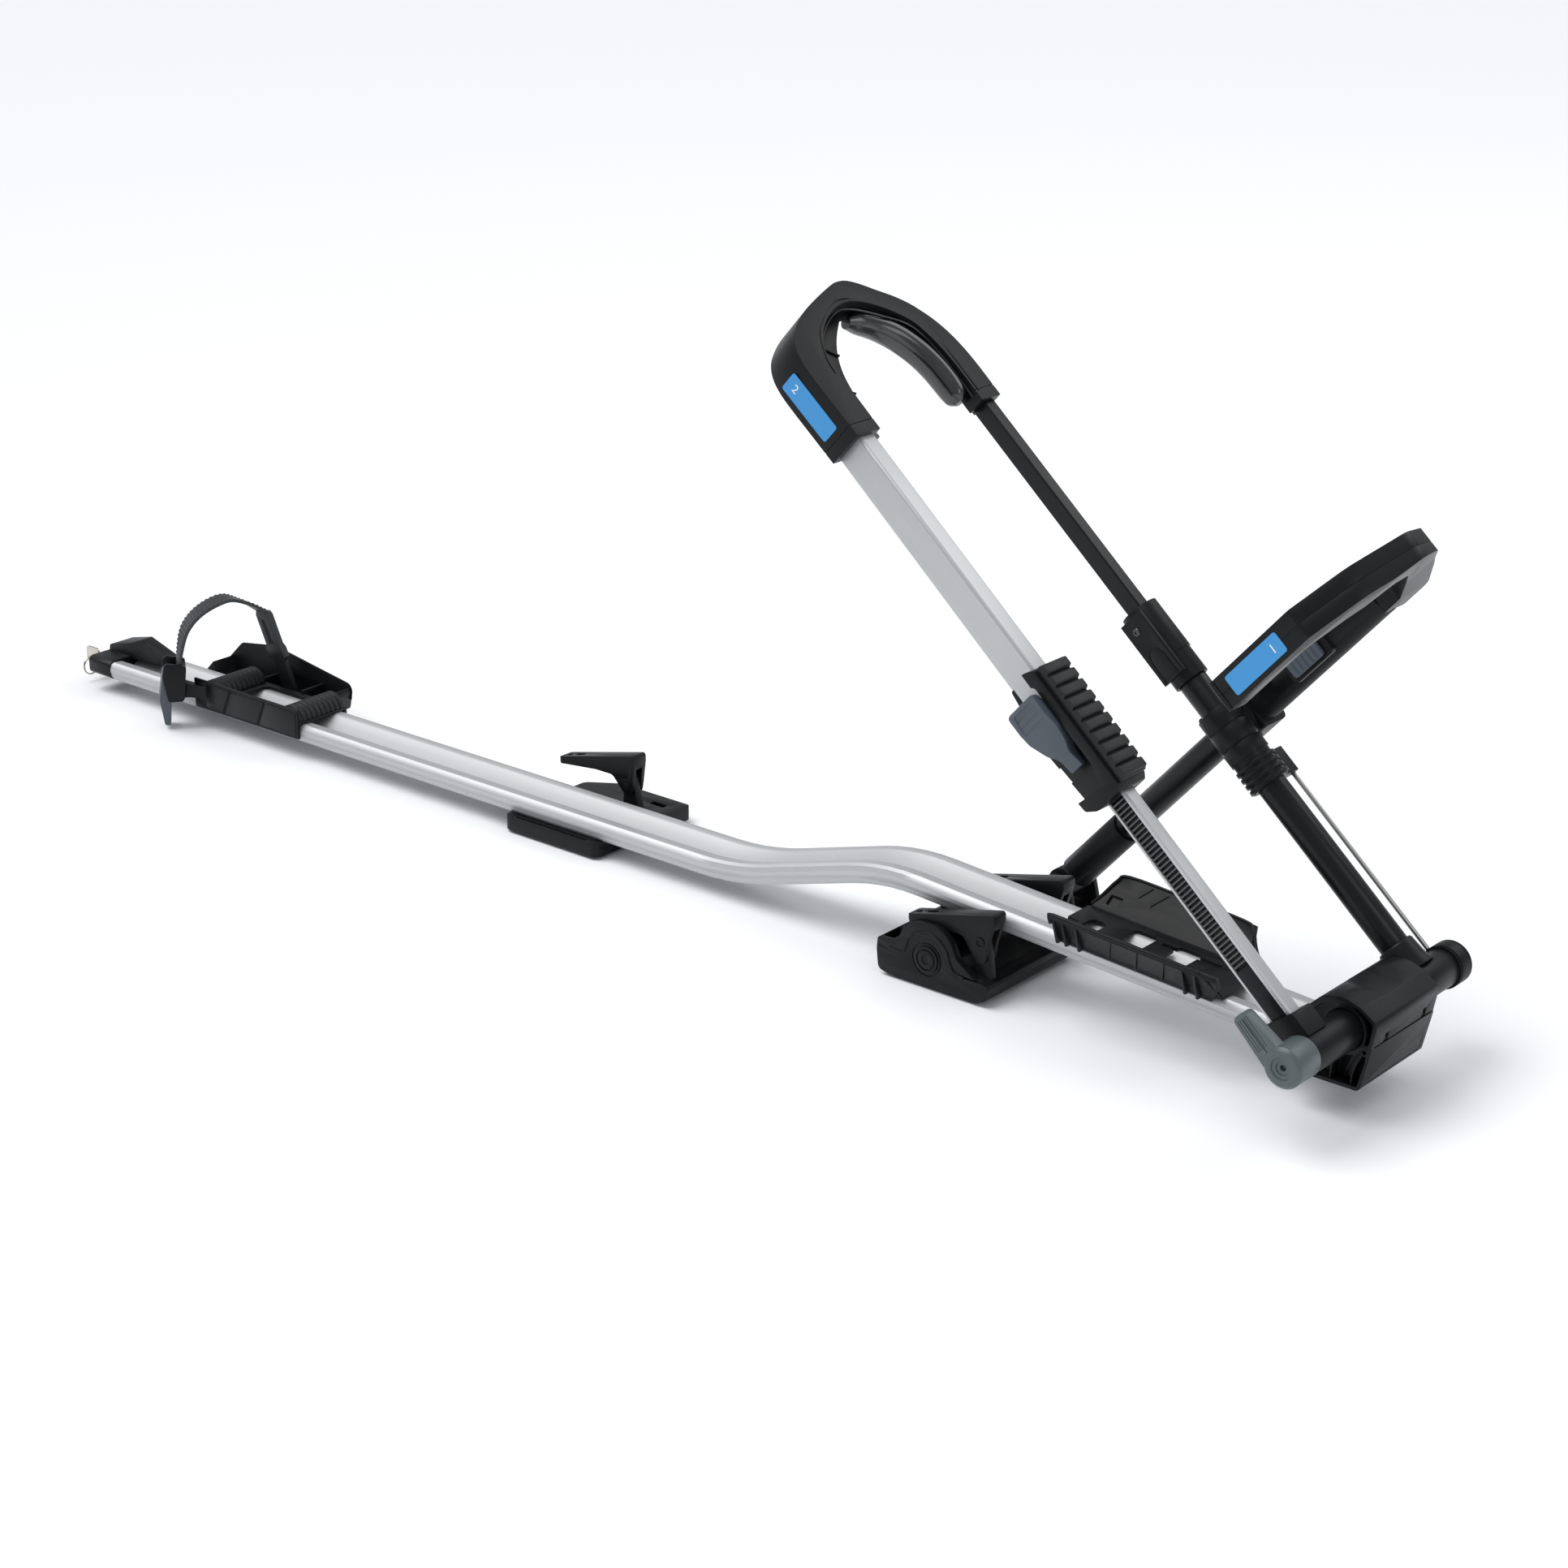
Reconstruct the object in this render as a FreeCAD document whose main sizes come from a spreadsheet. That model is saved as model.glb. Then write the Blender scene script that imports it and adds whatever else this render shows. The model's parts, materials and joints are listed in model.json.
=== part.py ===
"""Upright roof bike carrier: a wheel tray rail on two feet, with a wheel arm and a tyre hoop.

Axes: +X towards the front of the carrier, +Z up, -Y the side the cyclist works from.
Origin: on the ground, under the centre of the front foot. Millimetres and degrees.
The hoop is modelled standing on its axle and the wheel arm standing on its pin: local Z runs
along the arm and local X is its front. Both are then tilted to their angle.
"""
import FreeCAD
import Part
import math
import os

V = FreeCAD.Vector

DIMS = {
    # rail
    "railRear": -1119, "railWidth": 60, "railHeight": 19, "railRearZ": 17, "railNoseZ": 32.5,
    "railPitch": 4.07, "railKickX": -250, "railCrestX": -81, "railKickArc": 300,
    "railCrestArc": 200, "railWall": 2.2,
    # axle and housing at the nose
    "pivotX": 388, "pivotZ": 77.9, "axleDia": 16, "axleNearY": -126, "axleFarY": 118,
    "runClear": 0.05, "gap": 0.3, "housingHalf": 48, "hubDia": 33, "hubNearY": -109.6,
    "knobDia": 34, "knobNearY": -139, "farCapDia": 37, "farCapY": 123.5,
    # hoop
    "hoopAngle": 41.5, "nearArmY": -97.5, "farTubeY": 71.4, "ratchetWide": 22,
    "ratchetDeep": 14.2, "ratchetTop": 430, "toothPitch": 4, "toothFirst": 82,
    "outerWide": 30.5, "outerDeep": 19, "outerWall": 1.7, "outerLow": 300, "headLow": 597,
    "headTop": 736, "socketDeep": 45, "tubeDia": 25.4, "tubeWall": 1.5, "farTubeTop": 330,
    "sleeveLow": 198, "sleeveTop": 273, "collarLow": 305, "collarTop": 378, "rodWide": 16,
    "rodDeep": 13, "guideRodY": 105, "guideRodDia": 4, "gripLow": 243, "gripTop": 362,
    "releaseLow": 287, "releaseTop": 345,
    # wheel arm
    "armAngle": 48.3, "armX": 16, "armZ": 51, "armY": 118, "armPinDia": 8, "armTubeTop": 430,
    "armSocketTop": 42, "crossLow": 228, "crossTop": 282, "hookLow": 385,
    "hookTop": 548, "hookRodDia": 18, "buttonLow": 332, "buttonTop": 367,
    # front foot
    "footLength": 118, "footNearY": -62.4, "footFarY": 70, "padThick": 3, "footArchX": -5,
    "footArchZ": 28, "footArchDia": 64, "plugDia": 24, "leverNearY": -46, "leverFarY": 54,
    "leverWide": 17, "leverPinX": 44, "leverPinZ": 54.5, "leverPinDia": 5,
    # rear foot
    "rearFootX": -472, "rearFootLength": 120, "rearFootNearY": -36, "rearFootFarY": 97,
    "rearLeverY": 62, "rearPinX": -455, "rearPinZ": 44,
    # front tray
    "trayX": 188, "trayFloor": 3, "trayWall": 2.6, "trayRise": 24,
    # rear wheel holder
    "holderX": -900, "holderLength": 156, "holderWall": 3, "rollerDia": 32, "strapWide": 22,
    "strapThick": 3, "strapX": -958, "strapTurn": -38, "bucklePinY": -66, "bucklePinZ": 42,
    # lock
    "lockY": -12, "lockZ": 30, "lockDia": 12, "keyThick": 2, "ringDia": 19, "ringWire": 1.6,
}

doc = FreeCAD.newDocument("bike_carrier")
sheet = doc.addObject("Spreadsheet::Sheet", "dims")
for row, (alias, value) in enumerate(DIMS.items(), start=1):
    sheet.set(f"A{row}", alias)
    sheet.set(f"B{row}", str(value))
    sheet.setAlias(f"B{row}", alias)
doc.recompute()

NODES = []


# ---------------------------------------------------------------- helpers

def val(size):
    """The number that an expression on the sheet gives; plain numbers pass through."""
    return float(sheet.evalExpression(size)) if isinstance(size, str) else float(size)


def bind(obj, prop, size):
    obj.setExpression(prop, str(size))


def keep(obj, name, place=None, axis=V(0, 1, 0)):
    """Register obj as the sub-part called name, in the frame place = ((x, y, z), turn about axis)."""
    obj.Label = name
    if place:
        base, tilt = place
        obj.Placement = FreeCAD.Placement(V(0, 0, 0), FreeCAD.Rotation(axis, 1))
        for letter, size in zip("xyz", base):
            bind(obj, f"Placement.Base.{letter}", size)
        bind(obj, "Placement.Rotation.Angle", tilt)
    NODES.append(obj)
    return obj


def newBody(name):
    return doc.addObject("PartDesign::Body", name)


def arcThrough(a, b, c):
    """Arc a-b-c, always laid anticlockwise as sketches want it."""
    turn = (b.x - a.x) * (c.y - b.y) - (b.y - a.y) * (c.x - b.x)
    return Part.Arc(a, b, c) if turn > 0 else Part.Arc(c, b, a)


def outline(points):
    """Closed outline through points (x, y) or (x, y, r), r being the corner's radius.

    A corner's arc is limited by its two sides, each shared with the arc at its other end.
    """
    spots = [V(val(p[0]), val(p[1]), 0) for p in points]
    count = len(spots)
    sides = [(spots[(i + 1) % count] - spots[i]).Length for i in range(count)]
    halves, reaches = [], []
    for i, here in enumerate(spots):
        half = (spots[i - 1] - here).getAngle(spots[(i + 1) % count] - here) / 2
        radius = val(points[i][2]) if len(points[i]) > 2 else 0
        halves.append(half)
        reaches.append(0 if half > math.radians(89.5) else radius / math.tan(half))
    corners = []
    for i, here in enumerate(spots):
        reach = reaches[i]
        for side, other in ((sides[i - 1], reaches[i - 1]), (sides[i], reaches[(i + 1) % count])):
            if reaches[i] + other > side:
                reach = min(reach, side * reaches[i] / (reaches[i] + other))
        if reach <= 0:
            corners.append((here, None, here))
            continue
        before = (spots[i - 1] - here).normalize()
        after = (spots[(i + 1) % count] - here).normalize()
        radius = reach * math.tan(halves[i])
        middle = here + (before + after).normalize() * (radius / math.sin(halves[i]) - radius)
        corners.append((here + before * reach, middle, here + after * reach))
    edges = []
    for i, (start, middle, end) in enumerate(corners):
        if middle:
            edges.append(arcThrough(start, middle, end))
        following = corners[(i + 1) % count][0]
        if (following - end).Length > 1e-4:
            edges.append(Part.LineSegment(end, following))
    return edges


def box(low, high, radius=0):
    """Rectangular outline from corner low to corner high."""
    (x0, y0), (x1, y1) = low, high
    return outline([(x0, y0, radius), (x1, y0, radius), (x1, y1, radius), (x0, y1, radius)])


def disc(x, y, dia):
    return [Part.Circle(V(val(x), val(y), 0), V(0, 0, 1), val(dia) / 2)]


SIDE = {"XY_Plane": 1, "YZ_Plane": 1, "XZ_Plane": -1}


def sketch(body, name, role, wires, offset):
    plane = next(f for f in body.Origin.OriginFeatures if f.Role == role)
    made = body.newObject("Sketcher::SketchObject", f"{name}_sketch")
    made.AttachmentSupport = (plane, [""])
    made.MapMode = "FlatFace"
    bind(made, "AttachmentOffset.Base.z", offset)
    for wire in wires:
        for edge in wire:
            made.addGeometry(edge, False)
    return made


def pad(body, name, role, wires, low, high):
    """Material between low and high along the normal of the origin plane role."""
    start = low if SIDE[role] > 0 else high
    feature_sketch = sketch(body, name, role, wires, f"{SIDE[role]} * ({start})")
    feature = body.newObject("PartDesign::Pad", name)
    feature.Profile = feature_sketch
    bind(feature, "Length", f"({high}) - ({low})")
    return feature


def pocket(body, name, role, wires, low, high):
    """Cut between low and high along the normal of the origin plane role."""
    start = high if SIDE[role] > 0 else low
    feature_sketch = sketch(body, name, role, wires, f"{SIDE[role]} * ({start})")
    feature = body.newObject("PartDesign::Pocket", name)
    feature.Profile = feature_sketch
    bind(feature, "Length", f"({high}) - ({low})")
    return feature


def turned(body, name, role, axis, points, cut=False):
    """Revolve an outline about the sketch's H_Axis or V_Axis, or groove it away."""
    feature_sketch = sketch(body, name, role, [outline(points)], 0)
    kind = "PartDesign::Groove" if cut else "PartDesign::Revolution"
    feature = body.newObject(kind, name)
    feature.Profile = feature_sketch
    feature.ReferenceAxis = (feature_sketch, [axis])
    feature.Angle = 360
    return feature


def rounded(body, name, radius, test):
    """Fillet the edges of the body so far for which test(edge) holds."""
    doc.recompute()
    base = body.Tip
    names = [f"Edge{i}" for i, e in enumerate(base.Shape.Edges, start=1) if test(e)]
    feature = body.newObject("PartDesign::Fillet", name)
    feature.Base = (base, names)
    bind(feature, "Radius", radius)
    return feature


def along(axis, length=0):
    """Test for straight edges that run along a local axis and are longer than length."""
    def test(edge):
        if not isinstance(edge.Curve, Part.Line) or edge.Length < length:
            return False
        return abs(edge.Curve.Direction.dot(axis)) > 0.999
    return test


def rod(name, dia, y0, y1, x=0, z=0):
    """Round bar along Y, between y0 and y1, as a primitive."""
    bar = doc.addObject("Part::Cylinder", name)
    bind(bar, "Radius", f"({dia}) / 2")
    bind(bar, "Height", f"({y1}) - ({y0})")
    bar.Placement = FreeCAD.Placement(V(0, 0, 0), FreeCAD.Rotation(V(1, 0, 0), -90))
    bind(bar, "Placement.Base.x", x)
    bind(bar, "Placement.Base.y", y0)
    bind(bar, "Placement.Base.z", z)
    bar.Label = name
    return bar


def group(name, pieces):
    """Separate solids that share one node."""
    made = doc.addObject("Part::Compound", name)
    made.Links = pieces
    for piece in pieces:
        piece.Label = f"{name}_{pieces.index(piece) + 1}"
    return keep(made, name)


def railUnder(x):
    """Height of the rail's underside on its front stretch, as an expression."""
    return f"dims.railNoseZ + tan(dims.railPitch) * (dims.pivotX - ({x}))"


FLAT = ((0, 0, 0), 0)
AXLE = (("dims.pivotX", 0, "dims.pivotZ"), 0)
HOOP = (("dims.pivotX", 0, "dims.pivotZ"), "dims.hoopAngle - 90")
ARM = (("dims.armX", 0, "dims.armZ"), "90 - dims.armAngle")
TRAY = (("dims.trayX", 0, railUnder("dims.trayX")), "dims.railPitch")
HOLDER = (("dims.holderX", 0, "dims.railRearZ"), 0)


# ---------------------------------------------------------------- rail

def rail():
    """Aluminium extrusion, kicked up over the front foot, swept along its underside."""
    body = newBody("rail")
    half, top, wall = val("dims.railWidth / 2"), val("dims.railHeight"), val("dims.railWall")
    pitch = math.tan(math.radians(val("dims.railPitch")))
    rear, kick = val("dims.railRear"), val("dims.railKickX")
    crest, nose = val("dims.railCrestX"), val("dims.pivotX") - 6
    noseZ, rearZ = val("dims.railNoseZ"), val("dims.railRearZ")
    line = [V(rear, rearZ, 0), V(kick, rearZ, 0),
            V(crest, noseZ + pitch * (val("dims.pivotX") - crest), 0), V(nose, noseZ + pitch * 6, 0)]
    path = sketch(body, "rail_path", "XZ_Plane", [], 0)
    start = line[0]
    for i, bend in ((1, val("dims.railKickArc")), (2, val("dims.railCrestArc"))):
        before, after = (line[i - 1] - line[i]).normalize(), (line[i + 1] - line[i]).normalize()
        angle = before.getAngle(after) / 2
        reach = bend / math.tan(angle)
        middle = line[i] + (before + after).normalize() * (bend / math.sin(angle) - bend)
        path.addGeometry(Part.LineSegment(start, line[i] + before * reach), False)
        path.addGeometry(arcThrough(line[i] + before * reach, middle, line[i] + after * reach))
        start = line[i] + after * reach
    path.addGeometry(Part.LineSegment(start, line[3]), False)
    section = [(-half + 5, 0), (-7, 0), (-7, 3), (-10, 3), (-10, 6.5), (10, 6.5),
               (10, 3), (7, 3), (7, 0), (half - 5, 0), (half - 0.6, 3), (half, 6), (half, top - 4.5),
               (half - 1.4, top - 1.4), (half - 4.5, top), (half - 12, top), (half - 14, top - 0.8),
               (1, 9.5), (-9, 9.5), (-10.4, 10.6), (-13.2, top - 2), (-14.6, top - 1),
               (-half + 5, top), (-half + 1.6, top - 1.8), (-half, top - 6), (-half, 8),
               (-half + 0.8, 7.5), (-half + 0.8, 5)]
    inner = half - wall
    nearCell = [(-12.5, wall), (-inner + 1, 4.5), (-inner, top - 7),
                (-inner + 3, top - wall), (-15, top - wall - 1), (-12.5, 9)]
    farCell = [(12.5, wall), (inner - 1, 4.5), (inner, top - 6),
               (inner - 3, top - wall), (17, top - wall - 0.6), (12.5, 11.5)]
    profile = sketch(body, "rail_section", "YZ_Plane",
                     [outline([(y, z + rearZ, *r) for y, z, *r in loop])
                      for loop in (section, nearCell, farCell)], "dims.railRear")
    feature = body.newObject("PartDesign::AdditivePipe", "rail_sweep")
    feature.Profile = profile
    feature.Spine = (path, [])
    keep(body, "rail")


def railEndCap():
    """Black cap on the rear end: the rail's outline, with a wedge block on its far half."""
    body = newBody("rail_end_cap")
    rear = "dims.railRear"
    pad(body, "cap_plug", "YZ_Plane",
        [outline([(-30.6, 4, 4), (-24, -0.4, 2), (24, -0.4, 2), (30.6, 4, 4), (30.6, 17, 4),
                  (26, 20.4, 3), (-26, 20.4, 3), (-30.6, 17, 4)])], f"{rear} - 34", rear)
    pad(body, "cap_wedge", "XZ_Plane",
        [outline([(f"{rear} - 34", 16), (f"{rear} - 32", 27, 3), (f"{rear} + 2", 35, 5),
                  (f"{rear} + 44", 22.6, 4), (f"{rear} + 46", 19.2), (rear, 19.2)])], -3, 27)
    pocket(body, "lock_bore", "YZ_Plane", [disc("dims.lockY", "dims.lockZ - dims.railRearZ", "dims.lockDia + 2 * dims.runClear")],
           f"{rear} - 34", f"{rear} - 4")
    keep(body, "rail_end_cap", ((0, 0, "dims.railRearZ"), 0))


def lockSet():
    """Lock cylinder with its key, and the ring through the key's eye with the spare key on it."""
    lock = newBody("lock_cylinder")
    y, z, half = "dims.lockY", "dims.lockZ", "dims.keyThick / 2"
    pad(lock, "lock_barrel", "YZ_Plane", [disc(y, z, "dims.lockDia")],
        "dims.railRear - 35.5", "dims.railRear - 5")
    pocket(lock, "key_slot", "YZ_Plane", [box((f"{y} - {half}", f"{z} - 3.6"), (f"{y} + {half}", f"{z} + 3.6"))],
           "dims.railRear - 35.5", "dims.railRear - 14")
    keep(lock, "lock_cylinder")
    eye, eyeZ = "dims.railRear - 55", "dims.lockZ - 4.5"
    key = newBody("key")
    keyPlate(key, [box(("dims.railRear - 42", f"{z} - 3.5"), ("dims.railRear - 16", f"{z} + 3.5"), 0.8)],
             [box(("dims.railRear - 60", f"{z} - 9"), ("dims.railRear - 40", f"{z} + 9"), 4),
              disc(eye, eyeZ, 5)])
    keep(key, "key")
    ring = newBody("key_ring")
    ringZ = f"{eyeZ} + 1.2 - dims.ringDia / 2"
    pad(ring, "flat_ring", "YZ_Plane", [disc(y, ringZ, "dims.ringDia + dims.ringWire"),
                                        disc(y, ringZ, "dims.ringDia - dims.ringWire")],
        f"{eye} - dims.ringWire / 2", f"{eye} + dims.ringWire / 2")
    keep(ring, "key_ring")
    spare = newBody("spare_key")
    low, high = f"-{half} + 0.05", f"{half} - 0.05"
    pad(spare, "bow", "XY_Plane", [box((-6.5, -4.5), (6.5, 13), 4), disc(0, 0, 5)], low, high)
    pad(spare, "blade", "XY_Plane", [box((-3.4, 12), (3.4, 34), 0.8)], low, high)
    keep(spare, "spare_key", ((eye, f"{y} + dims.ringDia / 2", ringZ), -22), V(1, 0, 0))


def keyPlate(body, blade, bow):
    """A key stamped from flat bar: blade outline and bow outline with its eye."""
    low, high = "dims.lockY - dims.keyThick / 2 + 0.05", "dims.lockY + dims.keyThick / 2 - 0.05"
    pad(body, "blade", "XZ_Plane", blade, low, high)
    pad(body, "bow", "XZ_Plane", bow, low, high)


# ---------------------------------------------------------------- front foot

def footOutline(top):
    """Side outline of the front foot: the base below the parting line, or the cover above."""
    half = val("dims.footLength / 2")
    archX, archZ = val("dims.footArchX"), val("dims.footArchZ")
    part = [(half, 17.5), (30, 18.5, 10), (archX + 21, archZ + 2, 14), (archX + 11, archZ + 20, 12),
            (archX - 11, archZ + 20, 12), (archX - 21, archZ + 2, 14), (-34, 21, 8), (-half, 23)]
    if not top:
        return part + [(-half + 2, 5, 6), (-half + 12, "dims.padThick"), (half - 12, "dims.padThick"),
                       (half - 2, 6, 6)]
    high = val("dims.footArchDia / 2")
    skin = [(-half + 1, 35, 3), (-41, 35, 6), (archX - high + 1, 38, 6), (archX - 22, archZ + high, 23),
            (archX + 20, archZ + high, 25), (archX + high - 1, 36, 10), (46, 22.5, 6), (half - 1, 20.5, 1)]
    return part + skin


def frontFoot():
    base = newBody("front_foot_base")
    pad(base, "base_tub", "XZ_Plane", [outline(footOutline(False))], "dims.footNearY", "dims.footFarY")
    pocket(base, "plug_seat", "XZ_Plane", [disc("dims.footArchX", "dims.footArchZ", "dims.plugDia")],
           "dims.footNearY", "dims.footNearY + 4")
    keep(base, "front_foot_base")

    cover = newBody("front_foot_cover")
    pad(cover, "cover_shell", "XZ_Plane", [outline(footOutline(True))], "dims.footNearY", "dims.footFarY")
    seat = [(-22, 50), (12, 50), (12, railUnder(12)), (-22, railUnder(-22))]
    pad(cover, "rail_saddle", "XZ_Plane", [outline(seat)], -22, 22)
    bay = [(-70, 37), (26, 37, 4), (34, 23), (80, 23), (80, 90), (-70, 90)]
    for name, y in (("near_lever_bay", "dims.leverNearY"), ("far_lever_bay", "dims.leverFarY")):
        wide = "(dims.leverWide / 2 + 1)"
        pocket(cover, name, "XZ_Plane", [outline(bay)], f"{y} - {wide}", f"{y} + {wide}")
    pocket(cover, "rear_pocket", "XY_Plane", [box((-55, -58), (-44, -36), 2)], 27, 40)
    for name, y in (("near_post", "dims.leverNearY"), ("far_post", "dims.leverFarY")):
        pin = ("dims.leverPinX", "dims.leverPinZ")
        post = outline([(34, 20), (53, 20), (50, 46), ("dims.leverPinX + 5", "dims.leverPinZ + 5.5", 5),
                        ("dims.leverPinX - 5", "dims.leverPinZ + 5.5", 5), (38, 46)])
        pad(cover, name, "XZ_Plane", [post, disc(*pin, "dims.leverPinDia")], f"{y} - 4", f"{y} + 4")
    keep(cover, "front_foot_cover")

    keep(rod("front_foot_plug", "dims.plugDia", "dims.footNearY - 1.5", "dims.footNearY + 4",
             "dims.footArchX", "dims.footArchZ"), "front_foot_plug")

    sole = newBody("front_foot_pad")
    pad(sole, "sole", "XY_Plane", [box(("-dims.footLength / 2 + 12", "dims.footNearY + 4"),
                                       ("dims.footLength / 2 - 12", "dims.footFarY - 4"), 6)],
        0, "dims.padThick")
    keep(sole, "front_foot_pad")


def camLever(name, side, pinX, pinZ, tip, nose, drop):
    """Clamp lever over its post: a top plate with two cheeks that hang over the pin."""
    body = newBody(name)
    x, z = val(pinX), val(pinZ)
    shape = [(x + tip[0], z + tip[1], 2), (x + nose[0], z + nose[1], 3), (x + nose[0], z + nose[1] - 9, 3),
             (x + 7, z - 4, 4), (x + 5, z - drop, 4), (x - 3, z - drop, 4), (x - 18, z + 2, 8),
             (x - 40, z + 2, 6), (x + tip[0] + 3, z + tip[1] - 6, 2)]
    pad(body, "cheeks", "XZ_Plane", [outline(shape), disc(pinX, pinZ, "dims.leverPinDia")],
        f"{side} - dims.leverWide / 2", f"{side} + dims.leverWide / 2")
    hollow = [(x - 36, z - 40), (x - 30, z + 6, 2), (x + 9, z + 12.5, 2), (x + 30, z + 12.5),
              (x + 30, z - 40)]
    pocket(body, "post_slot", "XZ_Plane", [outline(hollow)], f"{side} - 4.3", f"{side} + 4.3")
    end, bend = x + tip[0], val("dims.leverWide") / 3
    for i, way in enumerate((-1, 1)):
        y = val(side) + way * val("dims.leverWide") / 2
        pocket(body, f"tip_round_{i + 1}", "XY_Plane",
               [outline([(end - 3, y + way), (end + bend, y + way), (end + bend, y), (end, y, bend),
                         (end, y - way * bend), (end - 3, y - way * bend)])], z - 10, z + 40)
    keep(body, name)


def leverPins():
    pins = []
    for name, side, x, z in (("near", "dims.leverNearY", "dims.leverPinX", "dims.leverPinZ"),
                             ("far", "dims.leverFarY", "dims.leverPinX", "dims.leverPinZ"),
                             ("rear", "dims.rearLeverY", "dims.rearPinX", "dims.rearPinZ")):
        pins.append(rod(f"{name}_pin", "dims.leverPinDia - 2 * dims.runClear",
                        f"{side} - dims.leverWide / 2", f"{side} + dims.leverWide / 2", x, z))
    group("lever_pins", pins)


# ---------------------------------------------------------------- rear foot

def rearFoot():
    body = newBody("rear_foot")
    x0, x1 = "dims.rearFootX - dims.rearFootLength / 2", "dims.rearFootX + dims.rearFootLength / 2"
    y0, y1 = "dims.rearFootNearY", "dims.rearFootFarY"
    pad(body, "plate", "XY_Plane",
        [outline([(x0, y0, 8), (x1, y0, 8), (x1, y1, 4), (f"{x0} + 30", y1, 20), (x0, f"{y1} - 20", 8)])],
        "dims.padThick", "dims.railRearZ")
    pocket(body, "belt_slot", "XY_Plane", [box((f"{x1} - 34", f"{y1} - 22"), (f"{x1} - 16", f"{y1} - 15"), 2)],
           "dims.padThick", "dims.railRearZ")
    pocket(body, "near_groove", "XY_Plane", [box((f"{x0} + 14", f"{y0} + 2.2"), (f"{x1} - 16", f"{y0} + 4.6"), 1)],
           "dims.railRearZ - 3", "dims.railRearZ + 1")
    pad(body, "post", "XZ_Plane",
        [outline([("dims.rearPinX - 10", 10), ("dims.rearPinX + 12", 10), ("dims.rearPinX + 6", 38),
                  ("dims.rearPinX + 5", "dims.rearPinZ + 5.5", 5),
                  ("dims.rearPinX - 5", "dims.rearPinZ + 5.5", 5), ("dims.rearPinX - 6", 38)]),
         disc("dims.rearPinX", "dims.rearPinZ", "dims.leverPinDia")],
        "dims.rearLeverY - 4", "dims.rearLeverY + 4")
    keep(body, "rear_foot")
    sole = newBody("rear_foot_pad")
    pad(sole, "sole", "XY_Plane", [box((f"{x0} + 6", f"{y0} + 5"), (f"{x1} - 6", f"{y1} - 24"), 5)],
        0, "dims.padThick")
    keep(sole, "rear_foot_pad")


# ---------------------------------------------------------------- front tray

def frontTray():
    """Moulded wheel tray on the rail: floor and near wing, with a wider far wing."""
    body = newBody("front_tray")
    top, half = val("dims.railHeight"), val("dims.railWidth / 2")
    floor, wall = val("dims.trayFloor"), val("dims.trayWall")
    rise = val("dims.trayRise")
    side = half + 0.2
    near = [(-side - wall, 6), (-side, 6), (-side, top + 0.1), (0, top + 0.1), (0, top + floor),
            (-side, top + floor, 4), (-44 + wall, top + rise), (-49, top + rise + 2), (-49, top + rise - 2),
            (-46.5, top + rise - 2), (-side - wall, top, 6)]
    pad(body, "near_wing", "YZ_Plane", [outline(near)], -83, 78)
    far = [(0, top + 0.1), (side, top + 0.1), (side, 6), (side + wall, 6), (side + wall, top - 1, 4),
           (63, top + rise), (60, top + rise + 2), (side + 1, top + floor, 4), (0, top + floor)]
    pad(body, "far_wing", "YZ_Plane", [outline(far)], -95, 75)
    for x in (-80, -71, -58, 46, 58):
        pad(body, f"gusset_{x + 81}", "YZ_Plane",
            [outline([(-side - wall + 0.5, 7), (-side - wall - 1.5, 7), (-48.6, top + rise - 1),
                      (-46, top + rise - 1), (-side - 1, top)])], x, x + 2)
    pocket(body, "near_front_rake", "XZ_Plane", [outline([(61, 0), (78.5, top + 12), (79, top + 40), (90, 60), (90, 0)])], -60, -side)
    pocket(body, "far_front_rake", "XZ_Plane", [outline([(48, top + rise + 3), (56, top + 14, 8), (76, top - 2), (95, 60), (48, 60)])], side, 70)
    pocket(body, "far_rear_rake", "XZ_Plane", [outline([(-81, top + rise + 3), (-86, top + 16, 8), (-96, top - 2), (-120, 60), (-81, 60)])], side, 70)
    for x in (-36, 8):
        pocket(body, f"window_{x + 36}", "XY_Plane", [box((x, -24), (x + 24, -8), 3)], top - 1, top + floor + 1)
    pocket(body, "long_slot", "XY_Plane", [box((-10, 12), (48, 17), 2)], top - 1, top + floor + 1)
    keep(body, "front_tray", TRAY)


# ---------------------------------------------------------------- axle housing

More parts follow.
